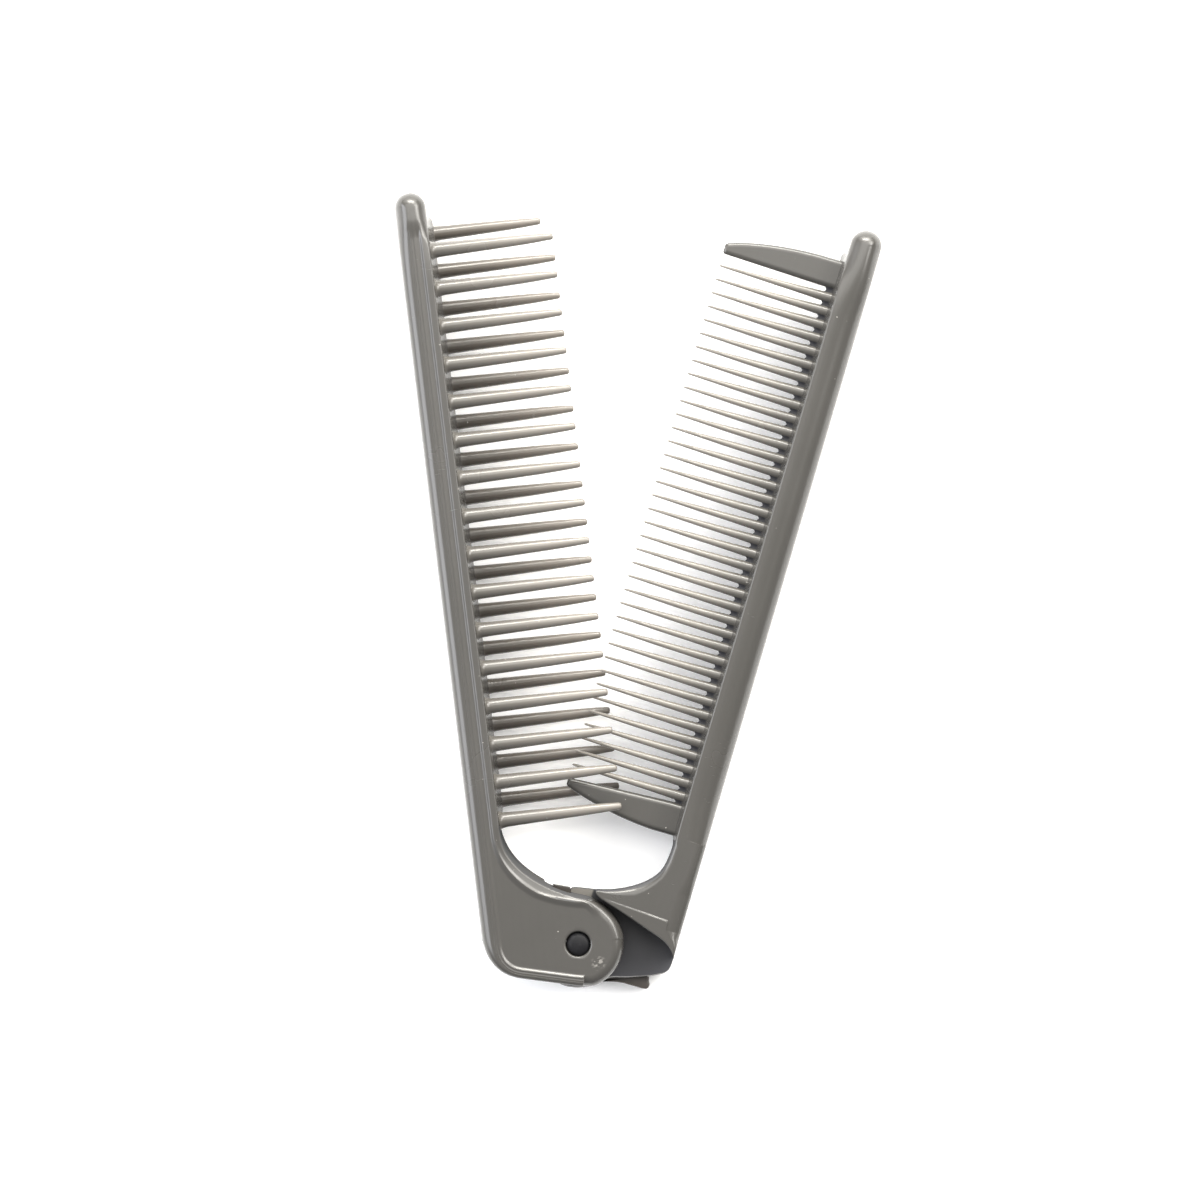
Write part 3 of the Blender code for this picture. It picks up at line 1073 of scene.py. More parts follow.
    def dress_ear_face(self, outer: np.ndarray, inner: np.ndarray, hub: np.ndarray) -> Skin:
        """Sizes of both edges of the ear face along their rows, and the moulding between them.

        The outer edge has a tighter corner with a higher step, and a full rounding on the ear. The window's
        edge rises to a crest over the arch, which sinks outward, narrows, and runs out round the ear.

        Args:
            outer: rail of the outer edge.
            inner: rail of the window's edge.
            hub: number of the row within the hub, 0 above it.

        Returns:
            The closed surface.
        """
        y, window_x, window_y = outer[:, 1], inner[:, 0], inner[:, 1]
        end = ease(y, *self.cap_fade) * (hub == 0)
        groove = 1.0 - ease(y, self.groove_end - self.groove_fade, self.groove_end)
        corner = ease(hub, *self.CORNER_ROWS)
        ear = ease(hub, *self.EAR_ROWS)
        toe = self.toe * ease(hub, *self.TOE_ROWS)
        crest = ease(window_y, *self.crest_fade)
        crest_end = ease(window_x, *self.crest_end)
        on_arch = ease(window_y, *self.arch_fade) * (1.0 - crest_end)
        outer_round = blend(blend(self.outer_round, self.corner_round, corner), self.ear_round, ear)
        window_round = self.window_round + self.crest_round * crest + self.crest_end_round * crest_end
        narrowing = (window_x - self.crest_narrows_from) * self.crest_narrowing
        crest_rim = self.crest_rim - np.clip(narrowing, 0.0, self.most_narrowing)
        first = Edge(
            rail=outer,
            normal=inward(outer, 1.0),
            round=blend(outer_round, self.cap_round, end),
            drop=blend(outer_round, self.cap_round, end),
            rim=blend(self.outer_rim, self.corner_rim, corner),
            draft=self.outer_draft,
            slope=self.outer_slope,
            step=blend(self.outer_step, self.corner_step, corner) * groove * (1.0 - ear),
            toe=toe,
            bead=self.outer_bead * groove,
        )
        second = Edge(
            rail=inner,
            normal=inward(inner, -1.0),
            round=blend(window_round, self.cap_round, end),
            drop=blend(window_round, self.cap_round, end),
            rim=self.window_rim + crest * crest_rim,
            draft=blend(self.window_draft, self.arch_draft, on_arch),
            slope=blend(self.window_slope, self.crest_slope, crest),
            step=(self.rim_height - self.crest_fall * crest) * groove * (1.0 - crest_end),
            bulge=self.bulge(inner),
            toe=toe,
            sink=self.crest_sink * crest * (1.0 - ease(window_x, *self.sink_end)),
        )
        layer = Ribbon(self.half - self.rim_height * groove, self.layer_gap / 2, self.cap_limit(len(y)))
        return self.crowned(layer.skin(first, second))

    def back_face(self) -> Skin:
        """The other layer: from the spine's end to the S-shaped line where it stops, over the other ear.

        Returns:
            The closed surface, facing down, with a plug that reaches into the ear layer.
        """
        plan = self.outline
        arch = chain(*(bezier(handles, 200) for handles in (*plan.arch, plan.shoulder[0])))
        tip_x = plan.parting[0][0]
        before = arch[arch[:, 0] < tip_x]
        tip_y = float(np.interp(tip_x, arch[:, 0], arch[:, 1]))
        end = bezier(self.PARTING_END, 80)
        last_y = float(np.interp(self.outer, -end[:, 0], end[:, 1]))
        end = end[end[:, 0] > -self.outer]
        start = [(-self.inner, self.hub_top)]
        around = chain(start, before, [(tip_x, tip_y)], plan.parting, end, [(-self.outer, last_y)])
        around = soften(spread(around, self.BACK_POINTS), 4)
        inner = np.concatenate([self.spine_side(-self.inner, 0), around[1:]])
        spine = self.spine_side(-self.outer, 180)
        above = len(spine)
        falling = np.minimum.accumulate(inner[above:, 1])
        outer = np.concatenate([spine, self.straight(-self.outer, falling)])
        return self.dress_back_face(outer, inner, above, around[:, 0].argmax())

    def dress_back_face(self, outer: np.ndarray, inner: np.ndarray, above: int, tip: int) -> Skin:
        """Sizes of both edges of the back face along their rows, and the moulding between them.

        The outer rounding is fuller along the spine. A low facet rises at the hub. Down the narrowing hub all
        sizes shrink with its width, and near the tip and the end of the parting with the distance from them.

        Args:
            outer: rail of the outer edge.
            inner: rail of the inner edge.
            above: number of rows above the hub.
            tip: number of hub rows down to the arch's tip.

        Returns:
            The closed surface, facing down.
        """
        y = outer[:, 1]
        row = np.arange(len(y)) - above
        before_tip = row <= tip
        tight = np.where(row >= 0, np.linalg.norm(outer - inner, axis=1), UNHELD)
        end = ease(y, *self.cap_fade)
        facet = 1.0 - ease(y, *(self.facet_top + margin for margin in self.facet_fade))
        fuller = ease(y, *self.fuller_start) * (1.0 - ease(y, *self.fuller_end))
        on_arch = ease(y, *self.arch_fade) * ease(row, *(tip - rows for rows in self.ARCH_ROWS))
        draft = np.minimum(self.back_draft, self.DRAFT_OF_WIDTH * tight)
        run = length_so_far(inner)
        from_tip = np.minimum(np.abs(run - run[above + tip]), run[-1] - run)
        opening = np.where(before_tip, self.REACH_BEFORE_TIP, self.REACH_AFTER_TIP)
        reach = self.REACH_AT_TIP + opening * from_tip
        arch_round = blend(self.back_window_round, self.back_arch_round, on_arch)
        edge_round = np.where(before_tip, arch_round, self.parting_round)
        edge_round = np.minimum(edge_round, self.ROUND_OF_REACH * reach)
        edge_drop = edge_round * (1.0 - self.ARCH_DROP_LOSS * on_arch)
        inner_most = self.INNER_ROUND_OF_WIDTH * tight
        outer_most = self.ROUND_OF_WIDTH * tight
        outer_round = blend(blend(self.back_round, self.fuller_round, fuller), self.cap_round, end)
        outer_drop = blend(blend(self.back_drop, self.fuller_drop, fuller), self.cap_round, end)
        first = Edge(
            rail=outer,
            normal=inward(outer, 1.0),
            round=np.minimum(outer_round, outer_most),
            drop=np.minimum(outer_drop, outer_most),
            rim=np.minimum(self.back_rim, self.RIM_OF_WIDTH * tight),
            draft=draft,
            slope=np.minimum(self.back_slope, self.SLOPE_OF_WIDTH * tight),
            step=-self.facet_rise * facet,
        )
        second = Edge(
            rail=inner,
            normal=inward(inner, -1.0),
            round=np.minimum(blend(edge_round, self.cap_round, end), inner_most),
            drop=np.minimum(blend(edge_drop, self.cap_round, end), inner_most),
            rim=np.minimum(edge_round + self.INNER_RIM_MARGIN, self.INNER_RIM_OF_WIDTH * tight),
            draft=draft * (1.0 - self.ARCH_DRAFT_LOSS * on_arch),
            slope=self.INNER_SLOPE,
            bulge=self.bulge(inner),
            reach=reach,
        )
        panel = self.half - self.facet_rise * (1.0 - facet)
        layer = Ribbon(panel, -self.layer_gap / 2, self.cap_limit(len(y)), self.plug)
        skin = self.crowned(layer.skin(first, second))
        return Skin(skin.points * np.array([1.0, 1.0, -1.0]), skin.faces).outward()

    def bore_cutter(self) -> Skin:
        """A turned cutter for the pin's hole: a bore that flares over a small rounded lip at the sunk face.

        Returns:
            The closed surface.
        """
        face = self.half - self.rim_height
        lip = self.bore_radius + self.bore_lip * np.array([0.0, 0.08, 0.27, 0.55, 0.9, 1.5])
        fall = face + self.bore_lip * np.array([-0.95, -0.55, -0.25, -0.08, 0.0, 0.1])
        radii = np.concatenate([[0.0, self.bore_radius], lip, [lip[-1], 0.0]])
        heights = np.concatenate([[-1.0, -1.0], fall, [face + 1.0, face + 1.0]])
        return turned(radii, heights, 96)

    def build(self, name: str, seat: Seat, body: bpy.types.Material, finishes: Finishes) -> bpy.types.Object:
        """The moulding as an object: both layers seated in the frame, with the pin's hole cut.

        Args:
            name: the piece's name.
            seat: where the half lies.
            body: finish of the whole moulding.
            finishes: gives the painted-shade finishes of the inner face and the window's wall.

        Returns:
            The new object.
        """
        thing = new_piece(name, seat.seated(self.ear_face()), body)
        cutter = new_piece(f"{name}_bore", seat.seated(self.bore_cutter()), body)
        cut = thing.modifiers.new("bore", "BOOLEAN")
        cut.operation = "DIFFERENCE"
        cut.solver = "MANIFOLD"
        cut.object = cutter
        back = new_piece(f"{name}_back", seat.seated(self.back_face()), body)
        fuse(thing, [back], [cutter])
        thing.data.materials.append(finishes.inner_face_painted_shade)
        thing.data.materials.append(finishes.window_wall_painted_shade)
        self.share_out(thing.data, seat)
        return thing

    def share_out(self, data: bpy.types.Mesh, seat: Seat) -> None:
        """Numbers the finish of each face.

        1 is for flat faces at mid thickness, which slide on the other half; their finish is painted shade,
        darker toward the joint. 2 is for the steep wall round the window, where the normal faces away from
        the spine and the hub; its finish, a copy without reflection, is painted shade. The others keep 0.

        Args:
            data: the moulding's mesh.
            seat: where the half lies.
        """
        middles, normals = np.empty((len(data.polygons), 3)), np.empty((len(data.polygons), 3))
        data.polygons.foreach_get("center", middles.ravel())
        data.polygons.foreach_get("normal", normals.ravel())
        upright = np.abs(normals[:, 2])
        mid_band = self.layer_gap / 2 + self.MID_MARGIN
        inner_face_painted_shade = (np.abs(middles[:, 2] / MM - self.half) < mid_band) & (upright > self.FLAT_FROM)
        x, y, _ = seat.axes() @ (middles / MM - seat.place(np.zeros((1, 3)))).T
        out_x, out_y, _ = seat.axes() @ normals.T
        round_window = (y > self.WINDOW_LOW) & (y < self.WINDOW_HIGH) & (x > self.WINDOW_FROM_X)
        wall = round_window & (upright < self.STEEP_TO) & (out_x + out_y > self.FACING_FROM)
        data.polygons.foreach_set("material_index", inner_face_painted_shade + 2 * wall)


def turned(radii: np.ndarray, heights: np.ndarray, sides: int) -> Skin:
    """A surface of revolution: each profile point (r, z) at (r cos a, r sin a, z) for evenly spaced a.

    Args:
        radii: the profile's radii, 0 at both ends.
        heights: its heights.
        sides: number of angles.

    Returns:
        The closed surface.
    """
    a = full_turn(sides)
    return Skin.of_rings(rings_of(radii[:, None] * np.cos(a), radii[:, None] * np.sin(a), heights[:, None]))


def new_piece(name: str, skin: Skin, material: bpy.types.Material) -> bpy.types.Object:
    """Links an object that holds a surface and a material."""
    thing = bpy.data.objects.new(name, skin.mesh(name))
    thing.data.materials.append(material)
    bpy.context.scene.collection.objects.link(thing)
    return thing


def fuse(thing: bpy.types.Object, others: list[bpy.types.Object], tools: list[bpy.types.Object]) -> None:
    """Applies an object's modifiers, adds other closed shells to its mesh, and removes what is left over.

    Args:
        thing: the object to keep.
        others: objects whose shells join it.
        tools: cutters.
    """
    graph = bpy.context.evaluated_depsgraph_get()
    shell = bmesh.new()
    for part in (thing, *others):
        shell.from_mesh(bpy.data.meshes.new_from_object(part.evaluated_get(graph)))
    thing.modifiers.clear()
    shell.to_mesh(thing.data)
    shell.free()
    thing.data.shade_smooth()
    thing.data.set_sharp_from_angle(angle=SMOOTH_ANGLE)
    for part in (*others, *tools):
        bpy.data.objects.remove(part)


class Row(Enum):
    """The two rows of thick teeth: even ones from the top lie at the back, odd ones in the ear's layer."""

    BACK = 0
    FRONT = 1


@dataclass(frozen=True)
class ThickTeeth:
    """Two staggered rows of thick, round, tapered teeth with flared roots and blunt tips."""

    count: int = 32
    first_y: float = 94.7
    pitch: float = 2.5
    row_z: float = 3.4
    root_x: float = -8.3
    sink: float = 1.2
    sunk_share: float = 0.9
    tip_x: float = 7.8
    first_tip_x: float = 6.4
    tip_length: float = 0.6
    flare: float = 0.32
    flare_length: float = 0.35
    flare_at: tuple = (0.0, 0.1, 0.25, 0.45, 0.8, 1.4)
    body_at: float = 2.5
    depth_ratio: float = 1.15
    round_from: float = -8.0
    sides: int = 20
    radius_at: tuple = ((-8.3, 0.99), (-1.0, 0.81), (3.0, 0.7), (5.0, 0.62), (6.9, 0.5), (7.8, 0.46))

    def tooth(self, number: int) -> Skin:
        """One tooth along X: rings (x, r cos a, r k sin a).

        The radius r follows the table, flares at the root as an exponential, and closes over the tip as
        (1 - s^3)^(1/3). The depth ratio k grows toward the root.

        Args:
            number: the tooth's number from the top.

        Returns:
            The closed surface.
        """
        tip = self.tip_x if number else self.first_tip_x
        tip_start = tip - self.tip_length
        root = self.root_x + np.array([-self.sink, *self.flare_at])
        body = np.linspace(self.root_x + self.body_at, tip_start - 0.1, 9)
        end = tip - self.tip_length * np.cos(np.linspace(0.0, math.pi / 2, 9)) ** 1.2
        x = np.concatenate([root, body, end])
        stretched = (x - self.root_x) / (tip - self.root_x) * (self.tip_x - self.root_x) + self.root_x
        radius = np.interp(stretched, *np.array(self.radius_at).T)
        radius += self.flare * np.exp(-np.clip(x - self.root_x, 0.0, None) / self.flare_length)
        radius *= np.cbrt(1.0 - np.clip((x - tip_start) / self.tip_length, 0.0, 1.0) ** 3)
        radius[0] *= self.sunk_share
        deep = radius * blend(1.0, self.depth_ratio, np.clip(x / self.round_from, 0.0, 1.0))
        a = full_turn(self.sides)
        y = self.first_y - self.pitch * number + radius[:, None] * np.cos(a)
        z = (self.row_z if Row(number % 2) is Row.FRONT else -self.row_z) + deep[:, None] * np.sin(a)
        return Skin.of_rings(stopped(rings_of(x[:, None], y, z)))

    def build(self, name: str, row: Row, seat: Seat, material: bpy.types.Material) -> bpy.types.Object:
        """One row of teeth as an object.

        Args:
            name: the piece's name.
            row: which row.
            seat: where the half lies.
            material: its finish.

        Returns:
            The new object.
        """
        teeth = [self.tooth(number) for number in range(row.value, self.count, 2)]
        return new_piece(name, seat.seated(Skin.joined(teeth)), material)


@dataclass(frozen=True)
class Guard:
    """A guard's plan: an inner edge that is straight to bend_x, then leans to the tip, and an outer curve."""

    inner_y: float
    bend_x: float
    lean: float
    outer: tuple


@dataclass(frozen=True)
class FineRow:
    """The fine teeth, the thin web between their roots, and the guards at the ends, in the comb's frame.

    Widths and depths are tables of places along X and sizes.
    """

    count: int = 38
    first_y: float = 90.4
    last_y: float = 22.2
    tip_x: float = -7.35
    tip_length: float = 0.3
    body_x: float = 6.4
    web_x: float = 7.0
    root_x: float = 8.3
    sink: float = 1.0
    web_half: float = 0.55
    web_round: float = 0.3
    web_overlap: float = 0.6
    tip_depth: float = 0.35
    guard_tip_length: float = 0.45
    guard_tip_depth: float = 0.25
    guard_tip_inset: float = 0.6
    guard_round: float = 0.6
    sides: int = 16
    square: float = 0.8
    width_at: tuple = (
        (-7.35, 0.3), (-5.0, 0.46), (-3.0, 0.6), (-1.0, 0.76),
        (1.0, 0.88), (3.0, 1.0), (5.0, 1.15), (7.2, 1.36),
    )
    depth_at: tuple = ((-7.35, 0.5), (8.3, 1.1))
    upper: Guard = Guard(91.6, 6.5, 0.4, ((5.0, 95.5), (0.5, 95.4), (-4.0, 94.7), (-7.2, 93.5)))
    lower: Guard = Guard(21.2, 6.4, -0.8, ((5.0, 16.9), (0.5, 17.1), (-4.0, 18.1), (-7.3, 19.3)))

    @property
    def pitch(self) -> float:
        """Distance between neighbouring teeth."""
        return (self.first_y - self.last_y) / (self.count - 1)

    @property
    def root(self) -> float:
        """Where teeth, web and guards start, sunk in the spine."""
        return self.root_x + self.sink

    def fullness(self, x: np.ndarray, length: float) -> np.ndarray:
        """How full a section is: (1 - s^2)^(1/2), where s goes from 0 to 1 over the tip's length."""
        s = np.clip((self.tip_x + length - x) / length, 0.0, 1.0)
        return np.sqrt(1.0 - s * s)

    def tooth(self, y: float) -> Skin:
        """One tooth along X: rings whose half width and half depth follow the tables.

        The section is a softened square (|cos a|^k, |sin a|^k), closed over the tip as (1 - s^2)^(1/2).

        Args:
            y: the tooth's middle.

        Returns:
            The closed surface.
        """
        at_root = np.linspace(self.root, self.web_x, 5)
        body = np.linspace(self.body_x, self.tip_x + self.tip_length + 0.1, 12)
        end = self.tip_x + self.tip_length * np.cos(np.linspace(0.0, math.pi / 2, 7))
        x = np.concatenate([at_root, body, end])
        full = self.fullness(x, self.tip_length)
        wide = np.interp(x, *np.array(self.width_at).T) / 2 * full
        thinning = self.tip_depth + (1.0 - self.tip_depth) * full
        deep = np.interp(x, *np.array(self.depth_at).T) * thinning * (full > 0)
        a = full_turn(self.sides) + math.pi / self.sides
        across = np.sign(np.cos(a)) * np.abs(np.cos(a)) ** self.square
        down = np.sign(np.sin(a)) * np.abs(np.sin(a)) ** self.square
        return Skin.of_rings(stopped(rings_of(x[:, None], y + wide[:, None] * across, deep[:, None] * down)))

    def web(self) -> Skin:
        """The web: a flat plate whose free edge is scalloped between the teeth as half circles.

        Across, that edge is round: x = edge + r (1 + cos a), z = half the thickness times sin a.

        Returns:
            The closed surface.
        """
        upper, lower = self.upper.inner_y + self.web_overlap, self.lower.inner_y - self.web_overlap
        y = np.linspace(upper, lower, 14 * (self.count + 1))[:, None]
        gap = (self.pitch - self.width_at[-1][1]) / 2
        phase = (self.first_y + self.pitch / 2 - y) / self.pitch
        from_middle = (phase - np.round(phase)) * self.pitch
        hollow = np.sqrt(np.clip(gap**2 - from_middle**2, 0.0, None))
        a = np.linspace(math.pi / 2, 3.0 * math.pi / 2, 9)[None]
        edge_x = self.web_x - gap + hollow + self.web_round * (1.0 + np.cos(a))
        root = np.full_like(y, self.root)
        x = np.concatenate([root, edge_x, root], axis=1)
        z = self.web_half * np.concatenate([[[1.0]], np.sin(a), [[-1.0]]], axis=1)
        return Skin.of_rings(stopped(rings_of(x, y, z), both=True))

    def guard(self, plan: Guard) -> Skin:
        """One guard: for each x a flat section between its inner and outer edge, thinner toward the tip.

        Its corners are quarter turns, y = half width - c + c cos a, z = depth (sin a)^k.

        Args:
            plan: the guard's plan.

        Returns:
            The closed surface.
        """
        outer = chain([(self.root, plan.outer[0][1])], bezier(plan.outer, 40))[::-1]
        inner_x = (self.tip_x, plan.bend_x, self.root)
        end = self.tip_x + self.guard_tip_length * np.cos(np.linspace(0.0, math.pi / 2, 8))
        x = np.concatenate([np.linspace(self.root, self.tip_x + self.guard_tip_length, 44), end])
        outer_y = np.interp(x, outer[:, 0], outer[:, 1])
        inner_y = np.interp(x, inner_x, (plan.inner_y + plan.lean, plan.inner_y, plan.inner_y))
        full = self.fullness(x, self.guard_tip_length)
        middle = (outer_y + inner_y) / 2
        inset = self.guard_tip_inset * self.guard_tip_length * (1.0 - full)
        half = np.abs(outer_y - inner_y) / 2 - inset
        thinning = self.guard_tip_depth + (1.0 - self.guard_tip_depth) * full
        depth = np.interp(x, *np.array(self.depth_at).T) * thinning
        corner = np.minimum(self.guard_round, 0.98 * half)
        quarter = np.linspace(0.0, math.pi / 2, 7)[None]
        side = (half - corner)[:, None] + corner[:, None] * np.cos(quarter)
        lift = depth[:, None] * np.sin(quarter) ** self.square
        flat = (half - corner)[:, None] * np.linspace(0.9, -0.9, 5)[None]
        level = np.repeat(depth[:, None], 5, axis=1)
        y = np.concatenate([side, flat, -side[:, ::-1], -side[:, 1:], -flat, side[:, :0:-1]], axis=1)
        z = np.concatenate([lift, level, lift[:, ::-1], -lift[:, 1:], -level, -lift[:, :0:-1]], axis=1)
        return Skin.of_rings(stopped(rings_of(x[:, None], middle[:, None] + y, z), both=True))

    def build(self, seat: Seat, finishes: Finishes) -> list[bpy.types.Object]:
        """The row as three objects: the teeth, the web and the guards.

        Args:
            seat: where the comb lies.
            finishes: the finishes.

        Returns:
            The new objects.
        """
        teeth = [self.tooth(self.first_y - i * self.pitch) for i in range(self.count)]
        guards = [self.guard(self.upper), self.guard(self.lower)]
        pieces = (
            ("comb_fine_teeth", teeth, finishes.fine_teeth),
            # The web wears painted shade.
            ("comb_root_web", [self.web()], finishes.web),
            ("comb_guards", guards, finishes.comb),
        )
        return [
            new_piece(name, seat.seated(Skin.joined(skins).half_turned()), finish)
            for name, skins, finish in pieces
        ]


@dataclass(frozen=True)
class Slab:
    """A small flat piece with rounded edges: a plan outline between two heights."""

    outline: tuple
    low: float
    high: float
    edge: float
    points: int = 80

    def skin(self) -> Skin:
        """The slab: rings of its outline drawn in over a quarter circle at both faces.

        Returns:
            The closed surface.
        """
        rim = spread(np.array([*self.outline, self.outline[0]]), self.points + 1)[:-1]
        normal = inward(np.concatenate([rim[-3:], rim, rim[:3]]), 1.0)[3:-3]
        turn = np.linspace(0.0, math.pi / 2, 6)
        draw = self.edge * np.concatenate([1.0 - np.sin(turn), 1.0 - np.cos(turn)])[:, None]
        rise = self.low + self.edge * (1.0 - np.cos(turn))
        close = self.high - self.edge * (1.0 - np.sin(turn))
        level = np.concatenate([rise, close])[:, None]
        rings = rings_of(rim[:, 0] + normal[:, 0] * draw, rim[:, 1] + normal[:, 1] * draw, level)
        return Skin.of_rings(stopped(rings, both=True))


def attach(thing: bpy.types.Object, body: str, node: str) -> None:
    """Makes a piece ride on a body and stand for a CAD node, and reports it.

    Args:
        thing: the piece.
        body: the body's name.
        node: the CAD node's name.
    """
    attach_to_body(thing, body)
    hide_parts(node)
    log.info("%s: %d faces, rides on %s, stands for %s", thing.name, len(thing.data.polygons), body, node)


@dataclass(frozen=True)
class BrushHalf:
    """The half with thick teeth: its moulding, two rows of teeth, and a small dark ledge of painted shade on
    its arch.
    """

    outline: Outline = Outline(
        arch=(((-8.3, 16.5), (-8.3, 11.2), (-3.05, 7.82), (0.9, 6.38)),),
        shoulder=(((0.9, 6.38), (2.2, 6.05), (3.75, 5.15), (4.5, 4.05)),),
        corner=(((-12.5, 2.6), (-12.5, -1.2), (-10.6, -3.1), (-7.8, -3.78)),),
        foot=((-7.8, -3.78), (-0.9, -5.55), (-0.05, -5.7)),
        foot_step=((-0.05, -5.7), (0.2, -5.742)),
        ear_start=-78.0,
        parting=((-3.4, 6.05), (-4.1, 5.6), (-8.0, 4.35)),
    )
    # A dark piece of painted shade that fills the shaded notch by the arch.
    ledge: Slab = Slab(((-2.38, 8.08), (-2.38, 7.3), (-0.3, 6.3), (-0.1, 7.0), (-0.2, 7.42)), 0.3, 2.4, 0.1)

    def build(self, seat: Seat, finishes: Finishes) -> None:
        """Builds the half's pieces and attaches them.

        Args:
            seat: where the half lies.
            finishes: the finishes.
        """
        teeth = ThickTeeth()
        for thing in (
            HalfMoulding(self.outline).build("brush_moulding", seat, finishes.brush, finishes),
            teeth.build("brush_front_teeth", Row.FRONT, seat, finishes.front_teeth),
            teeth.build("brush_back_teeth", Row.BACK, seat, finishes.back_teeth_painted_shade),
            # The ledge wears painted shade.
            new_piece("brush_arch_ledge", seat.seated(self.ledge.skin()), finishes.ledge),
        ):
            attach(thing, "brush", "brush_half")


@dataclass(frozen=True)
class CombHalf:
    """The half with fine teeth: its moulding, the teeth with web and guards, and the stop at its foot."""

    ear_foot: tuple = tuple(map(tuple, arc((0.0, 0.0), HalfMoulding.ear_radius, -147.0, -91.4, 24)))
    outline: Outline = Outline(
        arch=(
            ((-8.3, 16.9), (-8.3, 14.6), (-8.25, 12.8), (-7.4, 11.5)),
            ((-7.4, 11.5), (-6.2, 9.75), (-3.4, 8.1), (-0.6, 7.5)),
        ),
        shoulder=(
            ((-0.6, 7.5), (0.5, 7.3), (1.7, 7.15), (2.6, 6.9)),
            ((2.6, 6.9), (3.3, 6.7), (3.0, 5.85), (3.3, 5.35)),
            ((3.3, 5.35), (3.8, 4.95), (4.2, 4.5), (4.5, 4.05)),
        ),
        corner=(
            ((-12.5, 2.6), (-12.55, 1.4), (-12.75, 0.3), (-12.35, -0.4)),
            ((-12.35, -0.4), (-11.95, -0.95), (-11.2, -1.25), (-10.3, -1.7)),
        ),
        foot=((-10.3, -1.7), (-7.0, -2.85), *ear_foot),
        foot_step=(ear_foot[-1], (0.1, -6.05)),
        ear_start=-88.0,
        parting=((-0.2, 7.0), (-0.95, 6.5), (-4.1, 5.6), (-8.0, 4.35)),
    )
    stop: Slab = Slab(
        (
            (3.4, -4.75), (4.18, -4.23), (5.33, -3.95), (6.48, -3.67), (7.27, -3.58), (8.42, -3.57),
            (9.72, -3.56), (10.3, -3.5), (10.56, -3.25), (10.62, -2.8), (10.4, -2.4), (10.28, -1.84),
            (9.9, -1.3), (3.4, -3.4),
        ),
        -5.2,
        -2.0,
        0.3,
    )

    def build(self, seat: Seat, finishes: Finishes) -> None:
        """Builds the half's pieces and attaches them.

        Args:
            seat: where the half lies.
            finishes: the finishes.
        """
        for thing in (
            HalfMoulding(self.outline).build("comb_moulding", seat, finishes.comb, finishes),
            *FineRow().build(seat, finishes),
            new_piece("comb_stop_tab", seat.seated(self.stop.skin().half_turned()), finishes.stop),
        ):
            attach(thing, "comb", "comb_half")


@dataclass(frozen=True)
class HingePin:
    """The turned pin: a shank with a low dome at each end."""

    radius: float = 1.57
    end: float = 4.9
    dome: float = 0.5

    def build(self, seat: Seat, finishes: Finishes) -> None:
        """Builds the pin and attaches it.

        Args:
            seat: where the pin's axis lies.
            finishes: the finishes.
        """
        a = np.linspace(0.0, math.pi / 2, 12)
        radii = self.radius * np.sin(a)
        heights = self.end - self.dome + self.dome * np.cos(a)
        skin = turned(np.concatenate([radii, radii[::-1]]), np.concatenate([heights, -heights[::-1]]), 64)
        thing = new_piece("hinge_pin_turned", seat.seated(skin), finishes.pin)
        attach(thing, "comb", "hinge_pin")


@dataclass(frozen=True)
class Lamp:
    """One soft light, placed along the photograph's right, up and toward-the-camera directions."""

    name: str
    place: Place
    size: Span
    power: float
    colour: Colour


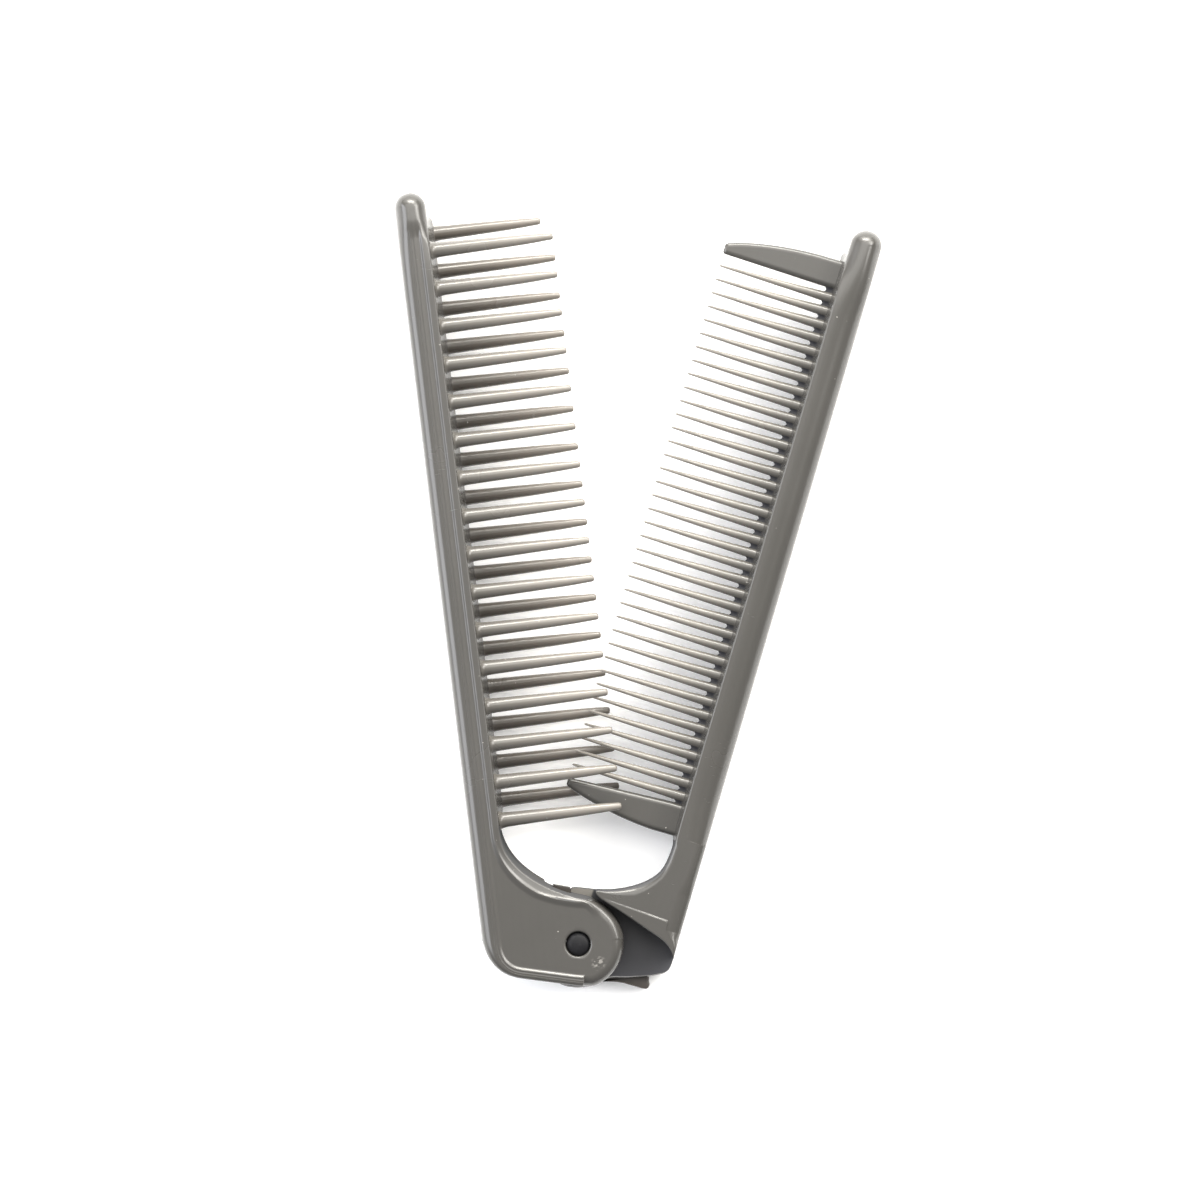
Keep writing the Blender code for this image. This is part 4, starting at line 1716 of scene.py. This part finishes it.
@dataclass(frozen=True)
class Studio:
    """Floor, soft lights and the camera that looks straight down, turned as the photograph is.

    The aim, the view's width and the camera's distance and sensor are in millimetres, the lamps in metres.
    """

    pivot: Place
    right: Span = (0.99287, -0.1192)
    aim: Span = (2.85, 44.9)
    view_width: float = 157.4
    distance: float = 1000.0
    sensor: float = 36.0
    sky: Colour = (1.0, 1.0, 1.0)
    sky_strength: float = 0.46
    floor_reach: float = 3.0
    lamps: tuple = (
        Lamp("key_softbox", (0.05, 0.60, 0.38), (0.42, 0.16), 7.5, (1.0, 0.97, 0.90)),
        Lamp("left_window", (-0.58, 0.06, 0.33), (0.5, 0.5), 6.0, (0.93, 0.95, 1.0)),
        Lamp("corner_softbox", (0.42, 0.42, 0.45), (0.45, 0.22), 3.0, (1.0, 0.97, 0.91)),
        Lamp("back_window", (0.0, 0.85, 0.30), (1.1, 0.5), 7.0, (1.0, 0.98, 0.94)),
        Lamp("right_lamp", (0.50, 0.22, 0.52), (0.5, 0.2), 3.6, (1.0, 0.98, 0.94)),
        Lamp("ceiling", (0.0, 0.50, 1.15), (1.3, 0.8), 13.0, (1.0, 0.985, 0.95)),
    )

    def axes(self) -> Matrix:
        """The photograph's right, up and toward-the-camera directions, as columns."""
        right = Vector((*self.right, 0.0))
        toward = Vector((0.0, 0.0, 1.0))
        return Matrix((right, toward.cross(right), toward)).transposed()

    def at(self, right: float, up: float, toward: float) -> Vector:
        """A point in the frame, from the middle of the photograph along its three directions, in metres."""
        aim = Vector((self.aim[0] * MM, self.aim[1] * MM, 0.0))
        return Vector(self.pivot) * MM + self.axes() @ (aim + Vector((right, up, toward)))

    def build(self) -> None:
        """Makes the camera, the lights, the pale surroundings and the floor."""
        scene = bpy.context.scene
        scene.view_settings.view_transform = "Standard"
        self.set_camera(scene)
        for lamp in self.lamps:
            self.hang(lamp)
        world = bpy.data.worlds.new("pale_room")
        world.use_nodes = True
        sky = world.node_tree.nodes["Background"]
        sky.inputs["Color"].default_value = (*self.sky, 1.0)
        sky.inputs["Strength"].default_value = self.sky_strength
        scene.world = world
        self.lay_floor()

    def set_camera(self, scene: bpy.types.Scene) -> None:
        """Hangs the camera over the middle of the photograph, with the lens that gives the view its width.

        Args:
            scene: the scene that looks through it.
        """
        lens = bpy.data.cameras.new("straight_down")
        lens.sensor_width = self.sensor
        lens.lens = self.sensor * self.distance / self.view_width
        lens.clip_end = 20.0
        camera = bpy.data.objects.new("straight_down", lens)
        camera.matrix_world = Matrix.Translation(self.at(0.0, 0.0, self.distance * MM)) @ self.axes().to_4x4()
        scene.collection.objects.link(camera)
        scene.camera = camera

    def hang(self, lamp: Lamp) -> None:
        """Adds one rectangular light, turned to face the middle of the photograph.

        Args:
            lamp: the light's place, size, power and colour.
        """
        data = bpy.data.lights.new(lamp.name, "AREA")
        data.shape = "RECTANGLE"
        data.size, data.size_y = lamp.size
        data.energy = lamp.power
        data.color = lamp.colour
        light = bpy.data.objects.new(lamp.name, data)
        light.location = self.at(*lamp.place)
        aim = self.at(0.0, 0.0, 0.0) - light.location
        light.rotation_euler = aim.to_track_quat("-Z", "Y").to_euler()
        bpy.context.scene.collection.objects.link(light)

    def lay_floor(self) -> None:
        """A flat square of floor that the comb lies on."""
        far = self.floor_reach
        data = bpy.data.meshes.new("floor")
        corners = [(-far, -far, 0.0), (far, -far, 0.0), (far, far, 0.0), (-far, far, 0.0)]
        data.from_pydata(corners, [], [(0, 1, 2, 3)])
        data.materials.append(PaleFloor().material())
        floor = bpy.data.objects.new("floor", data)
        bpy.context.scene.collection.objects.link(floor)


def main() -> None:
    """Builds both halves, the pin and the studio."""
    logging.basicConfig(level=logging.INFO, format="%(message)s")
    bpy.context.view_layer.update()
    joint = frame["record"]["behaviour"]["joints"][0]
    origin = tuple(joint["pos_m"])
    pivot = tuple(c / MM for c in origin)
    opening = -math.radians(joint["range_deg"][0])
    finishes = Finishes(origin, opening)
    brush = Seat(Side.BRUSH, pivot, 0.0)
    comb = Seat(Side.COMB, pivot, opening)
    BrushHalf().build(brush, finishes)
    CombHalf().build(comb, finishes)
    HingePin().build(brush, finishes)
    Studio(pivot).build()


if __name__ == "__main__":
    main()
